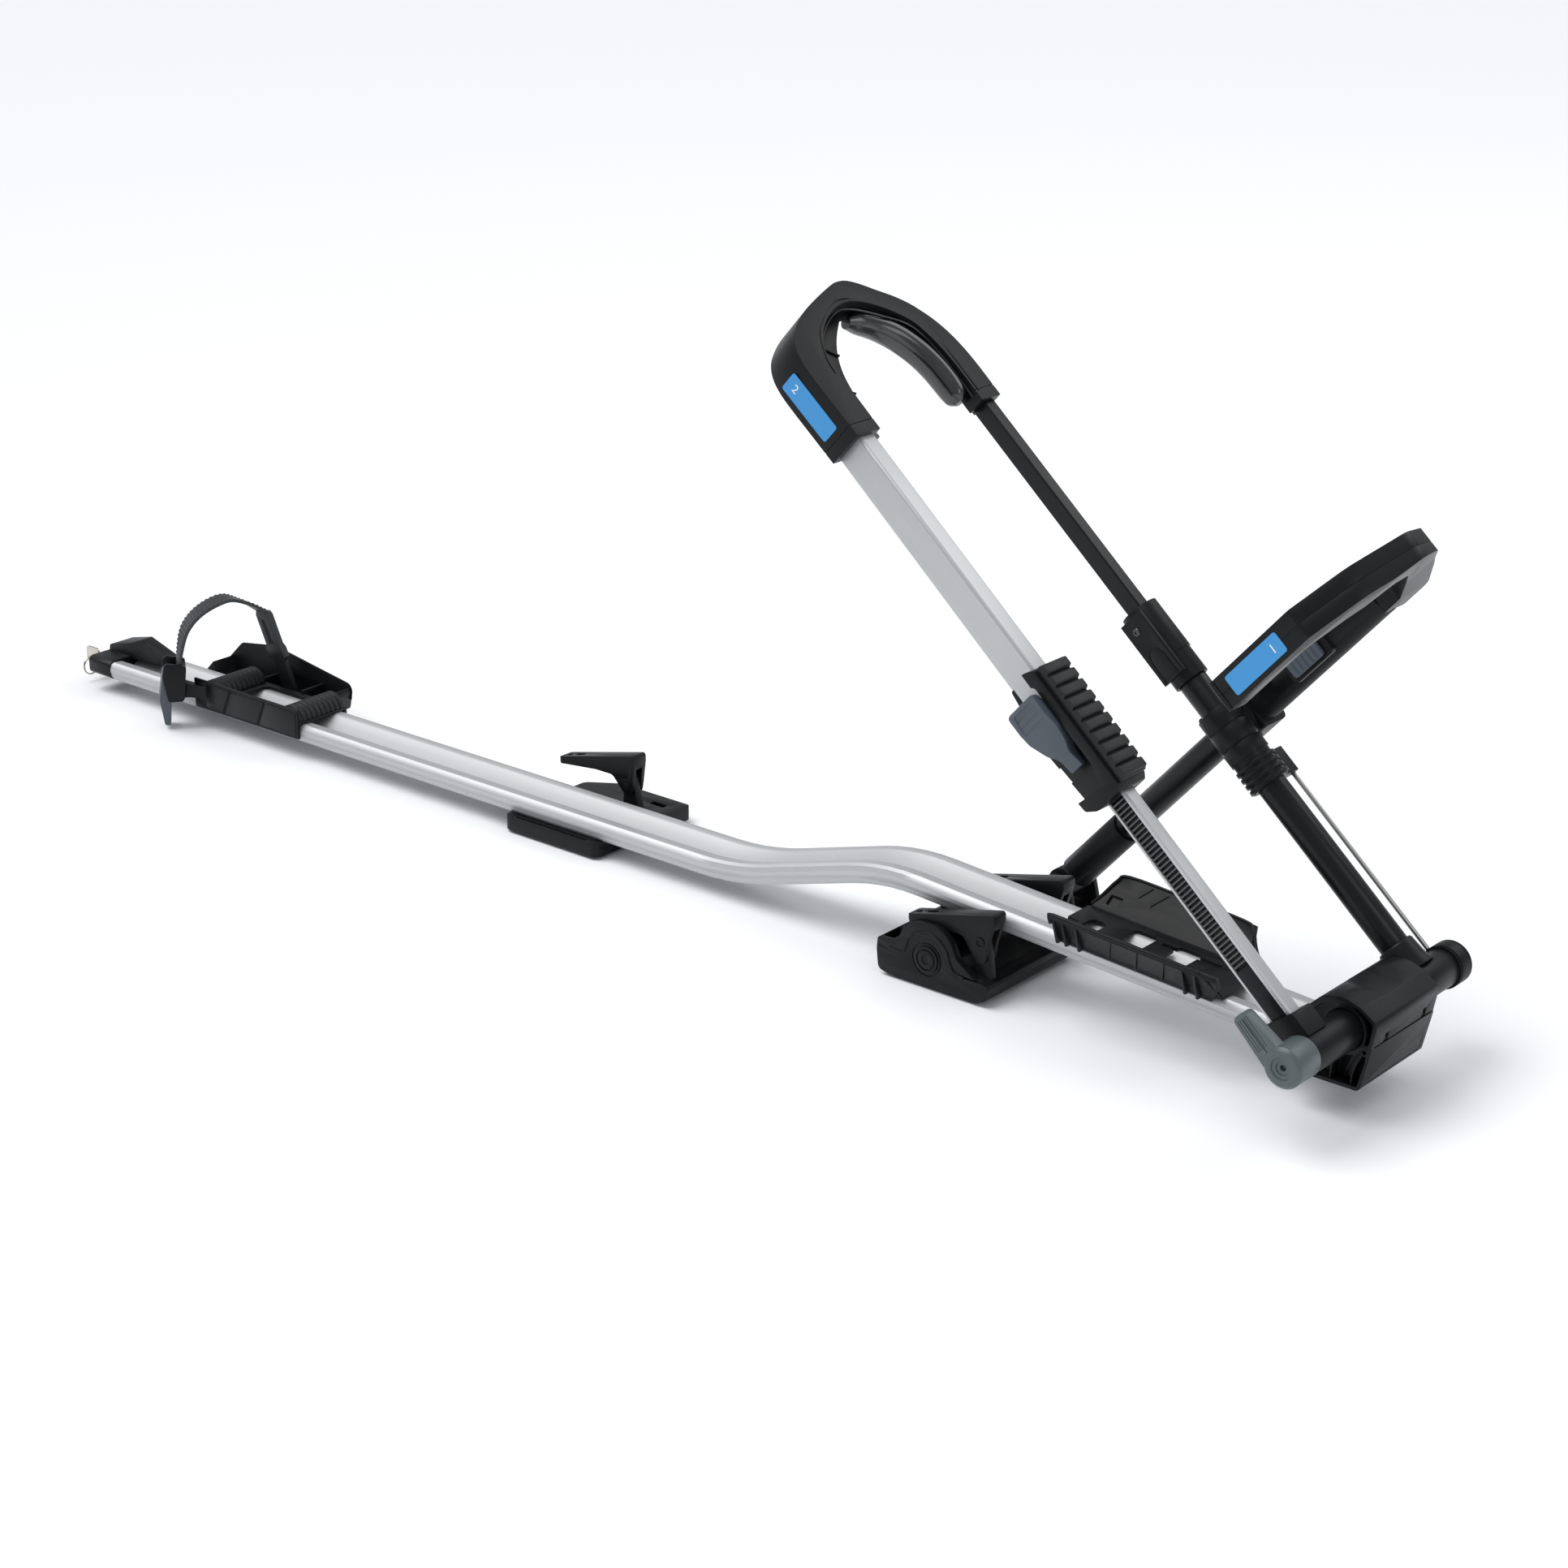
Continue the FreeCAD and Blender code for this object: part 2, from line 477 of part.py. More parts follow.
def housing():
    base = newBody("housing_base")
    half, bore = "dims.housingHalf", "dims.axleDia / 2 + dims.runClear"
    low = [(-46, -48, 4), (17, -48, 5), (25, -12, 2), (25, -9), (-46, -9)]
    pad(base, "base_block", "XZ_Plane", [outline(low)], f"-{half}", half)
    pocket(base, "rail_mouth", "YZ_Plane",
           [box(("-dims.railWidth / 2 - 0.2", "dims.railNoseZ - dims.pivotZ - 0.2"),
                ("dims.railWidth / 2 + 0.2", "dims.railNoseZ - dims.pivotZ + dims.railHeight + 3.8"))], -46, -4)
    turned(base, "axle_saddle", "YZ_Plane", "H_Axis",
           [(f"-{half}", 0), (half, 0), (half, "dims.hubDia / 2 + 1"), (44, "dims.hubDia / 2 + 1"),
            (44, bore), (-44, bore), (-44, "dims.hubDia / 2 + 1"),
            (f"-{half}", "dims.hubDia / 2 + 1")], cut=True)
    for name, y0, y1 in (("near", f"-{half} - 1", f"-{half} + 14"), ("far", f"{half} - 14", f"{half} + 1")):
        pocket(base, f"{name}_front_bay", "XZ_Plane",
               [outline([(-3, -45, 2), (14.5, -45, 2), (21, -19.5, 2), (7, -20.5, 2)])], y0, y1)
        pocket(base, f"{name}_rear_bay", "XZ_Plane",
               [outline([(-30, -45, 2), (-6, -45, 2), (4, -20.5, 2), (-22, -20.5, 2)])], y0, y1)
    keep(base, "housing_base", AXLE)

    cover = newBody("housing_cover")
    high = [(-46, -9), (25, -9), (29, 12, 6), (14, 22, 14), (-2, 27, 24), (-20, 24, 16), (-46, -2, 6)]
    pad(cover, "cover_block", "XZ_Plane", [outline(high)], f"-{half}", half)
    turned(cover, "axle_arch", "YZ_Plane", "H_Axis",
           [(f"-{half}", 0), (half, 0), (half, "dims.hubDia / 2 + 1"), (44, "dims.hubDia / 2 + 1"),
            (44, bore), (-44, bore), (-44, "dims.hubDia / 2 + 1"),
            (f"-{half}", "dims.hubDia / 2 + 1")], cut=True)
    pocket(cover, "saddle_dip", "YZ_Plane", [disc(0, 27 + 70 - 5.5, 140)], -46, 29)
    keep(cover, "housing_cover", AXLE)
    keep(rod("axle", "dims.axleDia", "dims.axleNearY", "dims.axleFarY", "dims.pivotX", "dims.pivotZ"), "axle")


# ---------------------------------------------------------------- hoop, lower part

def nearHub():
    body = newBody("near_hub")
    radius, bore = "dims.hubDia / 2", "dims.axleDia / 2 + dims.runClear"
    turned(body, "sleeve", "YZ_Plane", "H_Axis",
           [("dims.hubNearY", bore), (-44.3, bore), (-44.3, radius), ("dims.hubNearY", radius)])
    y0, y1 = "dims.nearArmY - dims.ratchetDeep / 2 - 3", "dims.nearArmY + dims.ratchetDeep / 2 + 9"
    pad(body, "socket", "XZ_Plane",
        [outline([(-13.5, 9), (15.5, 9), (15.5, 30, 3), (-13.5, 36, 3)])], y0, y1)
    pocket(body, "profile_seat", "XY_Plane", [ratchetSection()], 17, 40)
    keep(body, "near_hub", HOOP)


def ratchetSection(clear=0):
    y, deep, wide = val("dims.nearArmY"), val("dims.ratchetDeep") / 2, val("dims.ratchetWide")
    return box((-10 - clear, y - deep - clear), (-10 + wide + clear, y + deep + clear), 2)


def ratchetProfile():
    body = newBody("ratchet_profile")
    y, deep = val("dims.nearArmY"), val("dims.ratchetDeep") / 2
    pad(body, "profile", "XY_Plane", [ratchetSection(), box((-7.5, y - 1), (10, y + deep - 2), 1)],
        17, "dims.ratchetTop")
    pocket(body, "strip_groove", "XY_Plane", [box((-7, y - deep - 1), (8, y - deep + 4))],
           17, "dims.ratchetTop")
    keep(body, "ratchet_profile", HOOP)


def ratchetStrip():
    """Moulded strip in the profile's groove; saw teeth from toothFirst to the top."""
    body = newBody("ratchet_strip")
    face, pitch = val("dims.nearArmY - dims.ratchetDeep / 2"), val("dims.toothPitch")
    low, first, top = 17, val("dims.toothFirst"), val("dims.ratchetTop") - 2
    depth, root = face + 4, face + 2
    points = [(depth, low), (face, low), (face, first)]
    for i in range(int((top - first) / pitch)):
        z = first + i * pitch
        points += [(root, z + 0.6), (root, z + pitch * 0.4), (face, z + pitch)]
    points += [(depth, points[-1][1])]
    pad(body, "strip", "YZ_Plane", [outline(points)], -6.9, 7.9)
    keep(body, "ratchet_strip", HOOP)


def farHub():
    body = newBody("far_hub")
    radius, bore = "dims.hubDia / 2", "dims.axleDia / 2 + dims.runClear"
    turned(body, "sleeve", "YZ_Plane", "H_Axis", [(44.3, bore), (104, bore), (104, radius), (44.3, radius)])
    pad(body, "tee", "XY_Plane", [disc(0, "dims.farTubeY", "dims.tubeDia + 6")], 9.5, 33)
    pocket(body, "tube_seat", "XY_Plane", [disc(0, "dims.farTubeY", "dims.tubeDia")], 17, 40)
    keep(body, "far_hub", HOOP)
    cap = newBody("far_cap")
    rim = "dims.farCapDia / 2"
    turned(cap, "cap", "YZ_Plane", "H_Axis",
           [("dims.axleFarY + 0.5", 0), ("dims.farCapY", 0), ("dims.farCapY", f"{rim} - 2"),
            ("dims.farCapY - 2", rim), (104, rim), (104, bore), ("dims.axleFarY + 0.5", bore)])
    keep(cap, "far_cap", HOOP)


def farTube():
    body = newBody("far_tube")
    pad(body, "tube", "XY_Plane", [disc(0, "dims.farTubeY", "dims.tubeDia"),
                                   disc(0, "dims.farTubeY", "dims.tubeDia - 2 * dims.tubeWall")],
        17, "dims.farTubeTop")
    keep(body, "far_tube", HOOP)


def linkSleeve():
    """Banded sleeve on the far tube, with a lug for the rod below."""
    body = newBody("link_sleeve")
    y, low, top = val("dims.farTubeY"), val("dims.sleeveLow"), val("dims.sleeveTop")
    inner, outer = val("dims.tubeDia / 2"), 18
    pad(body, "core", "XY_Plane", [disc(0, y, 2 * outer - 2.4), disc(0, y, 2 * inner)], low, top)
    bands = [(top - 16, top - 1), (top - 33, top - 18), (top - 47, top - 35)]
    for i, (z0, z1) in enumerate(bands):
        pad(body, f"band_{i + 1}", "XY_Plane", [disc(0, y, 2 * outer), disc(0, y, 2 * inner)], z0, z1)
    rodY, rodDia = "dims.guideRodY", "dims.guideRodDia"
    pad(body, "rod_lug", "XY_Plane",
        [outline([(-6, y + outer - 3), (6, y + outer - 3), (5, f"{rodY} + 5", 4), (-5, f"{rodY} + 5", 4)]),
         disc(0, rodY, rodDia)], low, low + 24)
    keep(body, "link_sleeve", HOOP)
    guide = newBody("guide_rod")
    pad(guide, "rod", "XY_Plane", [disc(0, rodY, rodDia)], "dims.farCapDia / 2", low + 24)
    keep(guide, "guide_rod", HOOP)


def tubeCollar():
    """Telescope guide: round below for the tube, square guide above for the hoop's rod."""
    body = newBody("tube_collar")
    y = "dims.farTubeY"
    pad(body, "collar", "XY_Plane", [disc(0, y, 31), disc(0, y, "dims.tubeDia")], "dims.collarLow", "dims.farTubeTop")
    pad(body, "guide", "XY_Plane", [disc(0, y, 33), rodSection(0.3)], "dims.farTubeTop", "dims.collarTop")
    pad(body, "flat", "XY_Plane",
        [box((-13, f"{y} - 18.5"), (13, f"{y} - 14"), 1.5)], "dims.collarLow + 8", "dims.collarTop - 4")
    keep(body, "tube_collar", HOOP)


def rodSection(clear=0):
    wide, deep, y = val("dims.rodWide") / 2 + clear, val("dims.rodDeep") / 2 + clear, val("dims.farTubeY")
    return box((-wide, y - deep), (wide, y + deep), 1.5)


# ---------------------------------------------------------------- hoop, sliding part

def outerSection(clear=0):
    y, deep, wide = val("dims.nearArmY"), val("dims.outerDeep") / 2, val("dims.outerWide")
    return box((-16.5 - clear, y - deep - clear), (-16.5 + wide + clear, y + deep + clear), 3)


def outerArm():
    body = newBody("outer_arm")
    y, deep, wide = val("dims.nearArmY"), val("dims.outerDeep") / 2, val("dims.outerWide")
    wall = val("dims.outerWall")
    pad(body, "tube", "XY_Plane",
        [outerSection(), box((-16.5 + wall, y - deep + wall), (-16.5 + wide - wall, y + deep - wall), 1.5)],
        "dims.outerLow", "dims.headLow + dims.socketDeep")
    keep(body, "outer_arm", HOOP)


def slideRod():
    body = newBody("slide_rod")
    pad(body, "rod", "XY_Plane", [rodSection()], 215, "dims.headLow + dims.socketDeep")
    keep(body, "slide_rod", HOOP)


def gripBody():
    body = newBody("grip_body")
    low, top, mid = "dims.gripLow", "dims.gripTop", "dims.outerLow"
    shape = [(-18, f"{low} + 6", 4), (-8, low, 4), (20, low, 4), (24, f"{low} + 5", 3),
             (24, f"{top} - 4", 3), (14.5, top, 2), (-17, top, 2), (-22, f"{mid} + 30", 14), (-22, mid, 10)]
    pad(body, "shell", "XZ_Plane", [outline(shape)], -121, -84)
    pocket(body, "arm_seat", "XY_Plane", [outerSection()], mid, f"{top} + 1")
    pocket(body, "profile_way", "XY_Plane", [ratchetSection(0.3)], f"{low} - 1", mid)
    pocket(body, "lever_bay", "XZ_Plane",
           [outline([(-30, f"{low} + 16"), (8, f"{low} + 12", 4), (15, f"{low} + 30", 4),
                     (15, f"{top} - 12", 5), (-30, f"{top} - 12")])], -122, -111)
    pocket(body, "hinge_relief", "XZ_Plane",
           [box((-30, "dims.releaseLow - 12"), (14.5, "dims.releaseLow + 3"), 1)], -112, -109)
    pocket(body, "arm_window", "XZ_Plane",
           [outline([(-16, f"{top} - 48", 3), (12, f"{top} - 48", 3), (12, f"{top} + 5"), (-30, f"{top} + 5"),
                     (-30, f"{top} - 20"), (-16, f"{top} - 26", 4)])], -122, -107)
    keep(body, "grip_body", HOOP)


def gripRubber():
    """Soft strip down the front of the grip, with ten rounded ribs for the fingers."""
    body = newBody("grip_rubber")
    low, top, count = val("dims.gripLow") + 5, val("dims.gripTop") - 4, 10
    step = (top - low) / count
    points = [(24, low), (29, low)]
    for i in range(count):
        z = low + i * step
        points += [(29, z + 0.8), (32.5, z + 2.2, 1.6), (32.5, z + step - 1.4, 1.6), (29, z + step)]
    points += [(24, top)]
    pad(body, "ribs", "XZ_Plane", [outline(points)], -118, -87)
    keep(body, "grip_rubber", HOOP)


def releaseLever():
    body = newBody("release_lever")
    low, top = "dims.releaseLow", "dims.releaseTop"
    side = [(-111.3, f"{low} - 8", 2), (-116, f"{low} - 8", 2), (-121, f"{low} + 10", 12),
            (-127, f"{low} + 40", 20), (-127, top, 2), (-122, top, 2), (-111.3, f"{top} - 22", 8)]
    pad(body, "paddle", "YZ_Plane", [outline(side)], -20, 13)
    for i in range(4):
        z = f"{top} - 8 - {6 * i}"
        pocket(body, f"groove_{i + 1}", "XZ_Plane", [box((-15, f"{z} - 2"), (9, z), 0.9)], -128, -126)
    keep(body, "release_lever", HOOP)


def crossed(name, front, side, low, top):
    """Solid that has this front outline and this plan outline, between low and top."""
    face = newBody(f"{name}_front")
    pad(face, "front", "YZ_Plane", [outline(front)], -30, 30)
    plan = newBody(f"{name}_plan")
    pad(plan, "plan", "XY_Plane", [outline(side)], f"{low} - 5", f"{top} + 5")
    blank = doc.addObject("Part::Common", f"{name}_blank")
    blank.Base, blank.Tool = face, plan
    return blank


def joined(kind, name, base, tool):
    made = doc.addObject(kind, name)
    made.Base, made.Tool = base, tool
    return made


def hoopHead():
    """Bent head that joins both legs: a deep rim with a thin web inside it that carries the pad."""
    low, top = "dims.headLow", "dims.headTop"
    z = val(top)
    front = [(-113, low, 3), (-116, z - 44, 12), (-84, z - 22, 60), (-16, z, 26), (33, z - 16, 60),
             (68, z - 38, 40), (84, z - 70, 40), (84, low, 2), (58, low, 2), (57, z - 86, 20),
             (48, z - 54, 40), (20, z - 38, 40), (-12, z - 24, 20), (-34, z - 24, 14),
             (-66, z - 42, 30), (-83, z - 66, 40), (-83, low, 2)]
    plan = [(-18.5, -130), (18.5, -130), (18.5, -80, 30), (20, -20, 40), (12, 66, 30), (12, 95),
            (-12, 95), (-12, 66, 30), (-16, -20, 40), (-18.5, -80, 30)]
    rim = crossed("head", front, plan, low, top)
    web = newBody("head_web")
    pad(web, "web", "YZ_Plane",
        [outline([(-90, low), (-64, low, 3), (-61, z - 84, 40), (-47, z - 58, 60), (-18, z - 22, 16),
                  (4, z - 30, 20), (28, z - 52, 40), (44, z - 90, 60), (47, low), (64, low),
                  (64, z - 60, 60), (0, z - 14, 60), (-60, z - 30, 60), (-90, z - 60)])], -8, 3)
    flank = newBody("head_flank")
    pad(flank, "flank", "XY_Plane", [outline([(20, -93), (14.8, -83.4), (3, -83), (3, -70), (24, -70)])],
        f"{low} - 5", f"{low} + 62")
    socket = newBody("head_near_socket")
    pad(socket, "near_socket", "XY_Plane", [outerSection()], f"{low} - 10", f"{low} + dims.socketDeep")
    far = newBody("head_far_socket")
    pad(far, "far_socket", "XY_Plane", [rodSection()], f"{low} - 10", f"{low} + dims.socketDeep")
    made = joined("Part::Fuse", "head_webbed", rim, web)
    for i, tool in enumerate((flank, socket, far)):
        made = joined("Part::Cut", f"head_cut_{i + 1}", made, tool)
    keep(joined("Part::Cut", "hoop_head", made, bowedBar("pad_seat", val("dims.runClear"))),
         "hoop_head", HOOP)


def bowedBar(name, clear=0):
    """Bowed bar of twelve flats along the inside of the head's far half."""
    body = newBody(name)
    z = val("dims.headTop")
    spine = sketch(body, f"{name}_line", "YZ_Plane", [], 7)
    ends = V(-4, z - 25, 0), V(36, z - 65, 0), V(50, z - 126, 0)
    spine.addGeometry(arcThrough(*ends), False)
    section = sketch(body, f"{name}_round", "XZ_Plane", [], "4")
    across, deep = 8 + clear, 6.5 + clear
    ring = [V(7 + across * math.cos(math.radians(30 * i)), z - 25 + deep * math.sin(math.radians(30 * i)), 0)
            for i in range(12)]
    for i, corner in enumerate(ring):
        section.addGeometry(Part.LineSegment(ring[i - 1], corner), False)
    feature = body.newObject("PartDesign::AdditivePipe", f"{name}_sweep")
    feature.Profile = section
    feature.Spine = (spine, [])
    return body


def hoopPad():
    """Glossy pad that a tyre rests against."""
    keep(bowedBar("hoop_pad"), "hoop_pad", HOOP)


def knob():
    """Grey locking knob on the near end of the axle, with its paddle lever."""
    body = newBody("lock_knob")
    rim, bore = "dims.knobDia / 2", "dims.axleDia / 2 + dims.runClear"
    near, far = "dims.knobNearY", "dims.hubNearY - dims.gap"
    turned(body, "drum", "YZ_Plane", "H_Axis",
           [(f"{near} + 2.4", 0), (f"{near} + 2.4", 6), (f"{near} + 1.2", 6), (f"{near} + 1.2", 9.5),
            (near, 9.5), (near, f"{rim} - 2.5", 0), (f"{near} + 2.5", rim), (far, rim), (far, bore),
            ("dims.axleNearY - 0.3", bore), ("dims.axleNearY - 0.3", 0)])
    pad(body, "paddle", "XZ_Plane", [outline([(-14, 9), (7, 14), (2, 52, 5), (-11, 52, 5)])],
        f"{near} + 2", f"{near} + 13")
    keep(body, "lock_knob", HOOP)


# ---------------------------------------------------------------- wheel arm

def armBracket():
    """Bracket on the far side of the front foot: two cheeks that hold the arm's pin."""
    body = newBody("arm_bracket")
    y, x, z = val("dims.armY"), val("dims.armX"), val("dims.armZ")
    pad(body, "shelf", "XZ_Plane", [outline([(x - 26, 6, 4), (x + 26, 6, 4), (x + 22, 26, 4), (x - 24, 26, 4)])],
        "dims.footFarY", y + 21)
    cheek = [(x - 22, 20), (x + 20, 20), (x + 10, z + 9, 10), (x - 10, z + 9, 10)]
    for name, y0, y1 in (("inner_cheek", y - 21, y - 16), ("outer_cheek", y + 16, y + 21)):
        pad(body, name, "XZ_Plane", [outline(cheek), disc("dims.armX", "dims.armZ", "dims.armPinDia")], y0, y1)
    keep(body, "arm_bracket")
    keep(rod("arm_pin", "dims.armPinDia", "dims.armY - 21", "dims.armY + 21", "dims.armX", "dims.armZ"),
         "arm_pin")


def armSocket():
    body = newBody("arm_socket")
    y, bore = val("dims.armY"), "dims.armPinDia + 2 * dims.runClear"
    pad(body, "knuckle", "XZ_Plane", [disc(0, 0, 27), disc(0, 0, bore)], y - 15.7, y + 15.7)
    pad(body, "socket", "XY_Plane", [disc(0, y, 30)], 10, "dims.armSocketTop + 42")
    pocket(body, "tube_seat", "XY_Plane", [disc(0, y, "dims.tubeDia")], "dims.armSocketTop", "dims.armSocketTop + 42")
    keep(body, "arm_socket", ARM)


def armTube():
    body = newBody("arm_tube")
    y = "dims.armY"
    pad(body, "tube", "XY_Plane", [disc(0, y, "dims.tubeDia"), disc(0, y, "dims.tubeDia - 2 * dims.tubeWall")],
        "dims.armSocketTop", "dims.armTubeTop")
    keep(body, "arm_tube", ARM)


def crossCollar():
    """Collar that the hoop's ribbed sleeve leans on when the hoop is raised."""
    body = newBody("cross_collar")
    y, low, top = val("dims.armY"), "dims.crossLow", "dims.crossTop"
    pad(body, "block", "XY_Plane", [box((-19, y - 18), (19, y + 17), 6), disc(0, y, "dims.tubeDia")],
        f"{low} + 6", f"{top} - 6")
    pad(body, "flange", "XZ_Plane", [outline([(-21, f"{low} + 4", 3), (21, f"{low} + 10", 3), (24, f"{top} - 14", 3), (-18, top, 3)])],
        "dims.farTubeY + 18.3", y - 17)
    pad(body, "sleeve", "XY_Plane", [disc(0, y, 31), disc(0, y, "dims.tubeDia")], f"{top} - 6", "dims.armTubeTop")
    button = box((-8, "dims.buttonLow"), (8, "dims.buttonTop"), 3)
    pad(body, "button_boss", "XZ_Plane", [box((-11, "dims.buttonLow - 6"), (11, "dims.buttonTop + 8"), 4)],
        y - 20, y - 13.5)
    pocket(body, "button_well", "XZ_Plane",
           [box((-8.3, "dims.buttonLow - dims.gap"), (8.3, "dims.buttonTop + dims.gap"), 3)], y - 21, y - 15)
    pocket(body, "window", "XZ_Plane", [box((-7, f"{top} + 5"), (7, f"{top} + 24"), 3)], y - 17, y - 13.9)
    keep(body, "cross_collar", ARM)
    press = newBody("arm_button")
    pad(press, "button", "XZ_Plane", [button], y - 24, y - 18.4)
    for i in range(5):
        z = f"dims.buttonLow + {5 + 6 * i}"
        pocket(press, f"rib_gap_{i + 1}", "XZ_Plane", [box((-9, z), (9, f"{z} + 2"))], y - 25, y - 23)
    keep(press, "arm_button", ARM)


def hookHead():
    """Hook over the wheel: front outline crossed with its thickness."""
    low, top = "dims.hookLow", "dims.hookTop"
    y = val("dims.armY")
    front = [(-82, low, 4), (-82, f"{top} - 64", 8), (-48, f"{top} - 24", 40), (10, top, 20),
             (40, f"{top} - 6", 16), (84, f"{top} - 42", 30), (y + 16, f"{top} - 88", 20),
             (y + 16, "dims.armTubeTop + dims.gap", 2), (y - 15, "dims.armTubeTop + dims.gap", 2),
             (y - 17, f"{top} - 96", 16), (66, f"{top} - 62", 30), (30, f"{top} - 34", 16),
             (4, f"{top} - 32", 18), (-34, f"{top} - 60", 30), (-58, f"{top} - 88", 20), (-58, low, 4)]
    plan = [(-4, -90), (22, -90), (22, -20, 40), (15, 70, 40), (15, 140), (-15, 140), (-15, 90, 30), (-4, 40, 40)]
    both = crossed("hook", front, plan, low, top)
    bore = newBody("hook_bore")
    pad(bore, "rod_hole", "XY_Plane", [disc(0, y, "dims.hookRodDia")], "dims.armTubeTop - 10", "dims.armTubeTop + 30")
    head = doc.addObject("Part::Cut", "hook_head")
    head.Base, head.Tool = both, bore
    keep(head, "hook_head", ARM)
    inner = newBody("hook_rod")
    pad(inner, "rod", "XY_Plane", [disc(0, y, "dims.hookRodDia")], 240, "dims.armTubeTop + 30")
    keep(inner, "hook_rod", ARM)


# ---------------------------------------------------------------- rear wheel holder

def wheelHolder():
    """Sliding tray over the rail: floor, near panel and the far basket wing."""
    body = newBody("holder_saddle")
    top, wall = val("dims.railHeight") + 0.4, val("dims.holderWall")
    side = val("dims.railWidth / 2") + 0.4
    long = val("dims.holderLength / 2")
    pad(body, "saddle", "YZ_Plane",
        [outline([(-side - wall, 5), (-side, 5), (-side, top), (side, top), (side, 5), (side + wall, 5),
                  (side + wall, top + wall, 2), (-side, top + wall), (-side, 36, 1), (-side - wall, 36, 1)])],
        -long, long)
    pocket(body, "window", "XY_Plane", [box((-32, -22), (40, 24), 6)], top - 2, top + wall + 2)
    basket = newBody("basket")
    shape = [(-146, 4, 4), (-109, 41, 10), (-57, 50, 40), (58, 32, 8), (52, 6, 4)]
    pad(basket, "basket_block", "XZ_Plane", [outline(shape)], side, 62)
    inner = [(-132, 60), (-118, 8, 6), (46, 8, 6), (66, 60)]
    pocket(basket, "basket_inside", "XZ_Plane", [outline(inner)], side - 1, 59)
    for x in (-46, 14):
        pad(basket, f"web_{x + 46}", "XZ_Plane", [outline([(x - 1.5, 7), (x + 1.5, 7), (x + 1.5, 26, 1), (x - 1.5, 26, 1)])],
            side, 60)
    seat = [strapPoint(-11, -50), strapPoint(10, -50), strapPoint(10, -44)]
    pad(body, "buckle_lug", "XY_Plane",
        [outline(seat + [(-long + 18, -side - wall + 1), (-long, -side - 1)])], 16.5, 30)
    both = doc.addObject("Part::Fuse", "wheel_holder")
    both.Base, both.Tool = body, basket
    keep(both, "wheel_holder", HOLDER)


def strapPoint(x, y):
    """A point of the strap's own frame, seen from the wheel holder's."""
    turn = math.radians(val("dims.strapTurn"))
    return (val("dims.strapX - dims.holderX") + x * math.cos(turn) - y * math.sin(turn),
            x * math.sin(turn) + y * math.cos(turn))


def holderParts():
    side = val("dims.railWidth / 2") + 0.4
    top = val("dims.railHeight") + 0.4 + val("dims.holderWall")
    half = val("dims.rollerDia") / 2
    for name, x in (("rear_roller", -56), ("front_roller", 62)):
        body = newBody(name)
        pad(body, "half_round", "XZ_Plane",
            [[Part.LineSegment(V(x - half, top, 0), V(x + half, top, 0)),
              Part.Arc(V(x + half, top, 0), V(x, top + half - 2, 0), V(x - half, top, 0))]],
            -side + 1, side - 0.4)
        keep(body, name, HOLDER)


def strapSet():
    """Strap holder on the far side, the toothed strap over the tyre, and the buckle with its lever."""
    frame = (("dims.strapX", 0, "dims.railRearZ"), "dims.strapTurn")
    upright = V(0, 0, 1)
    half, thick, pitch = "dims.strapWide / 2", val("dims.strapThick"), 5
    holder = newBody("strap_holder")
    pad(holder, "tongue", "YZ_Plane",
        [outline([(58.5, 8), (65, 8), (38, 104, 3), (31.6, 101.5, 3)])], f"-{half} - 1", f"{half} + 1")
    pocket(holder, "slot", "XZ_Plane", [box((-4, 58), (4, 92), 3)], 25, 70)
    keep(holder, "strap_holder", frame, upright)
    strap = newBody("ladder_strap")
    crown = [V(34, 102.6, 0), V(-4, 119, 0), V(-44, 88, 0), V(-54, 40, 0)]
    over = Part.BSplineCurve()
    over.interpolate(crown)
    inner = offsetPoints(over, -thick, 24)
    outer = []
    reach = over.length()
    steps = int(reach / pitch)
    for i in range(steps):
        for share, lift in ((0, 0), (0.5, 0), (0.5, 1.2), (1, 1.2)):
            outer.append(pointBeside(over, (i + share) * pitch, lift if i * pitch > 40 else 0))
    pad(strap, "band", "YZ_Plane", [polygon(outer + inner[::-1])], f"-{half}", half)
    keep(strap, "ladder_strap", frame, upright)
    buckle = newBody("buckle")
    for i, x in enumerate((-15, 11.5)):
        pad(buckle, f"cheek_{i + 1}", "YZ_Plane",
            [outline([(-66, 14, 4), (-50, 14, 4), (-46, 52, 4), (-68, 56, 4), (-71, 42, 6)])], x, x + 3.5)
    pad(buckle, "pin", "YZ_Plane", [disc("dims.bucklePinY", "dims.bucklePinZ", 4)], -15, 15)
    pad(buckle, "back", "YZ_Plane",
        [outline([(-53.6, 16), (-50, 16), (-50, 31), (-46.4, 50), (-50, 50), (-53.6, 31)])], -15, 15)
    keep(buckle, "buckle", frame, upright)
    lever = newBody("buckle_lever")
    side = [(-66, 48, 4), (-60.5, 45, 4), (-61, 36, 6), (-65, -12, 2), (-71, -12, 3), (-75, 16, 24), (-70.5, 44, 4)]
    bore = disc("dims.bucklePinY", "dims.bucklePinZ", "4 + 2 * dims.runClear")
    pad(lever, "paddle", "YZ_Plane", [outline(side), bore], -11.2, 11.2)
    keep(lever, "buckle_lever", frame, upright)


def pointBeside(curve, length, lift):
    """Point at this arc length of the curve, moved outwards by lift."""
    spot = curve.parameterAtDistance(min(length, curve.length()), curve.FirstParameter)
    heading = curve.tangent(spot)[0]
    return curve.value(spot) + V(heading.y, -heading.x, 0) * -lift


def offsetPoints(curve, lift, count):
    return [pointBeside(curve, curve.length() * i / count, lift) for i in range(count + 1)]


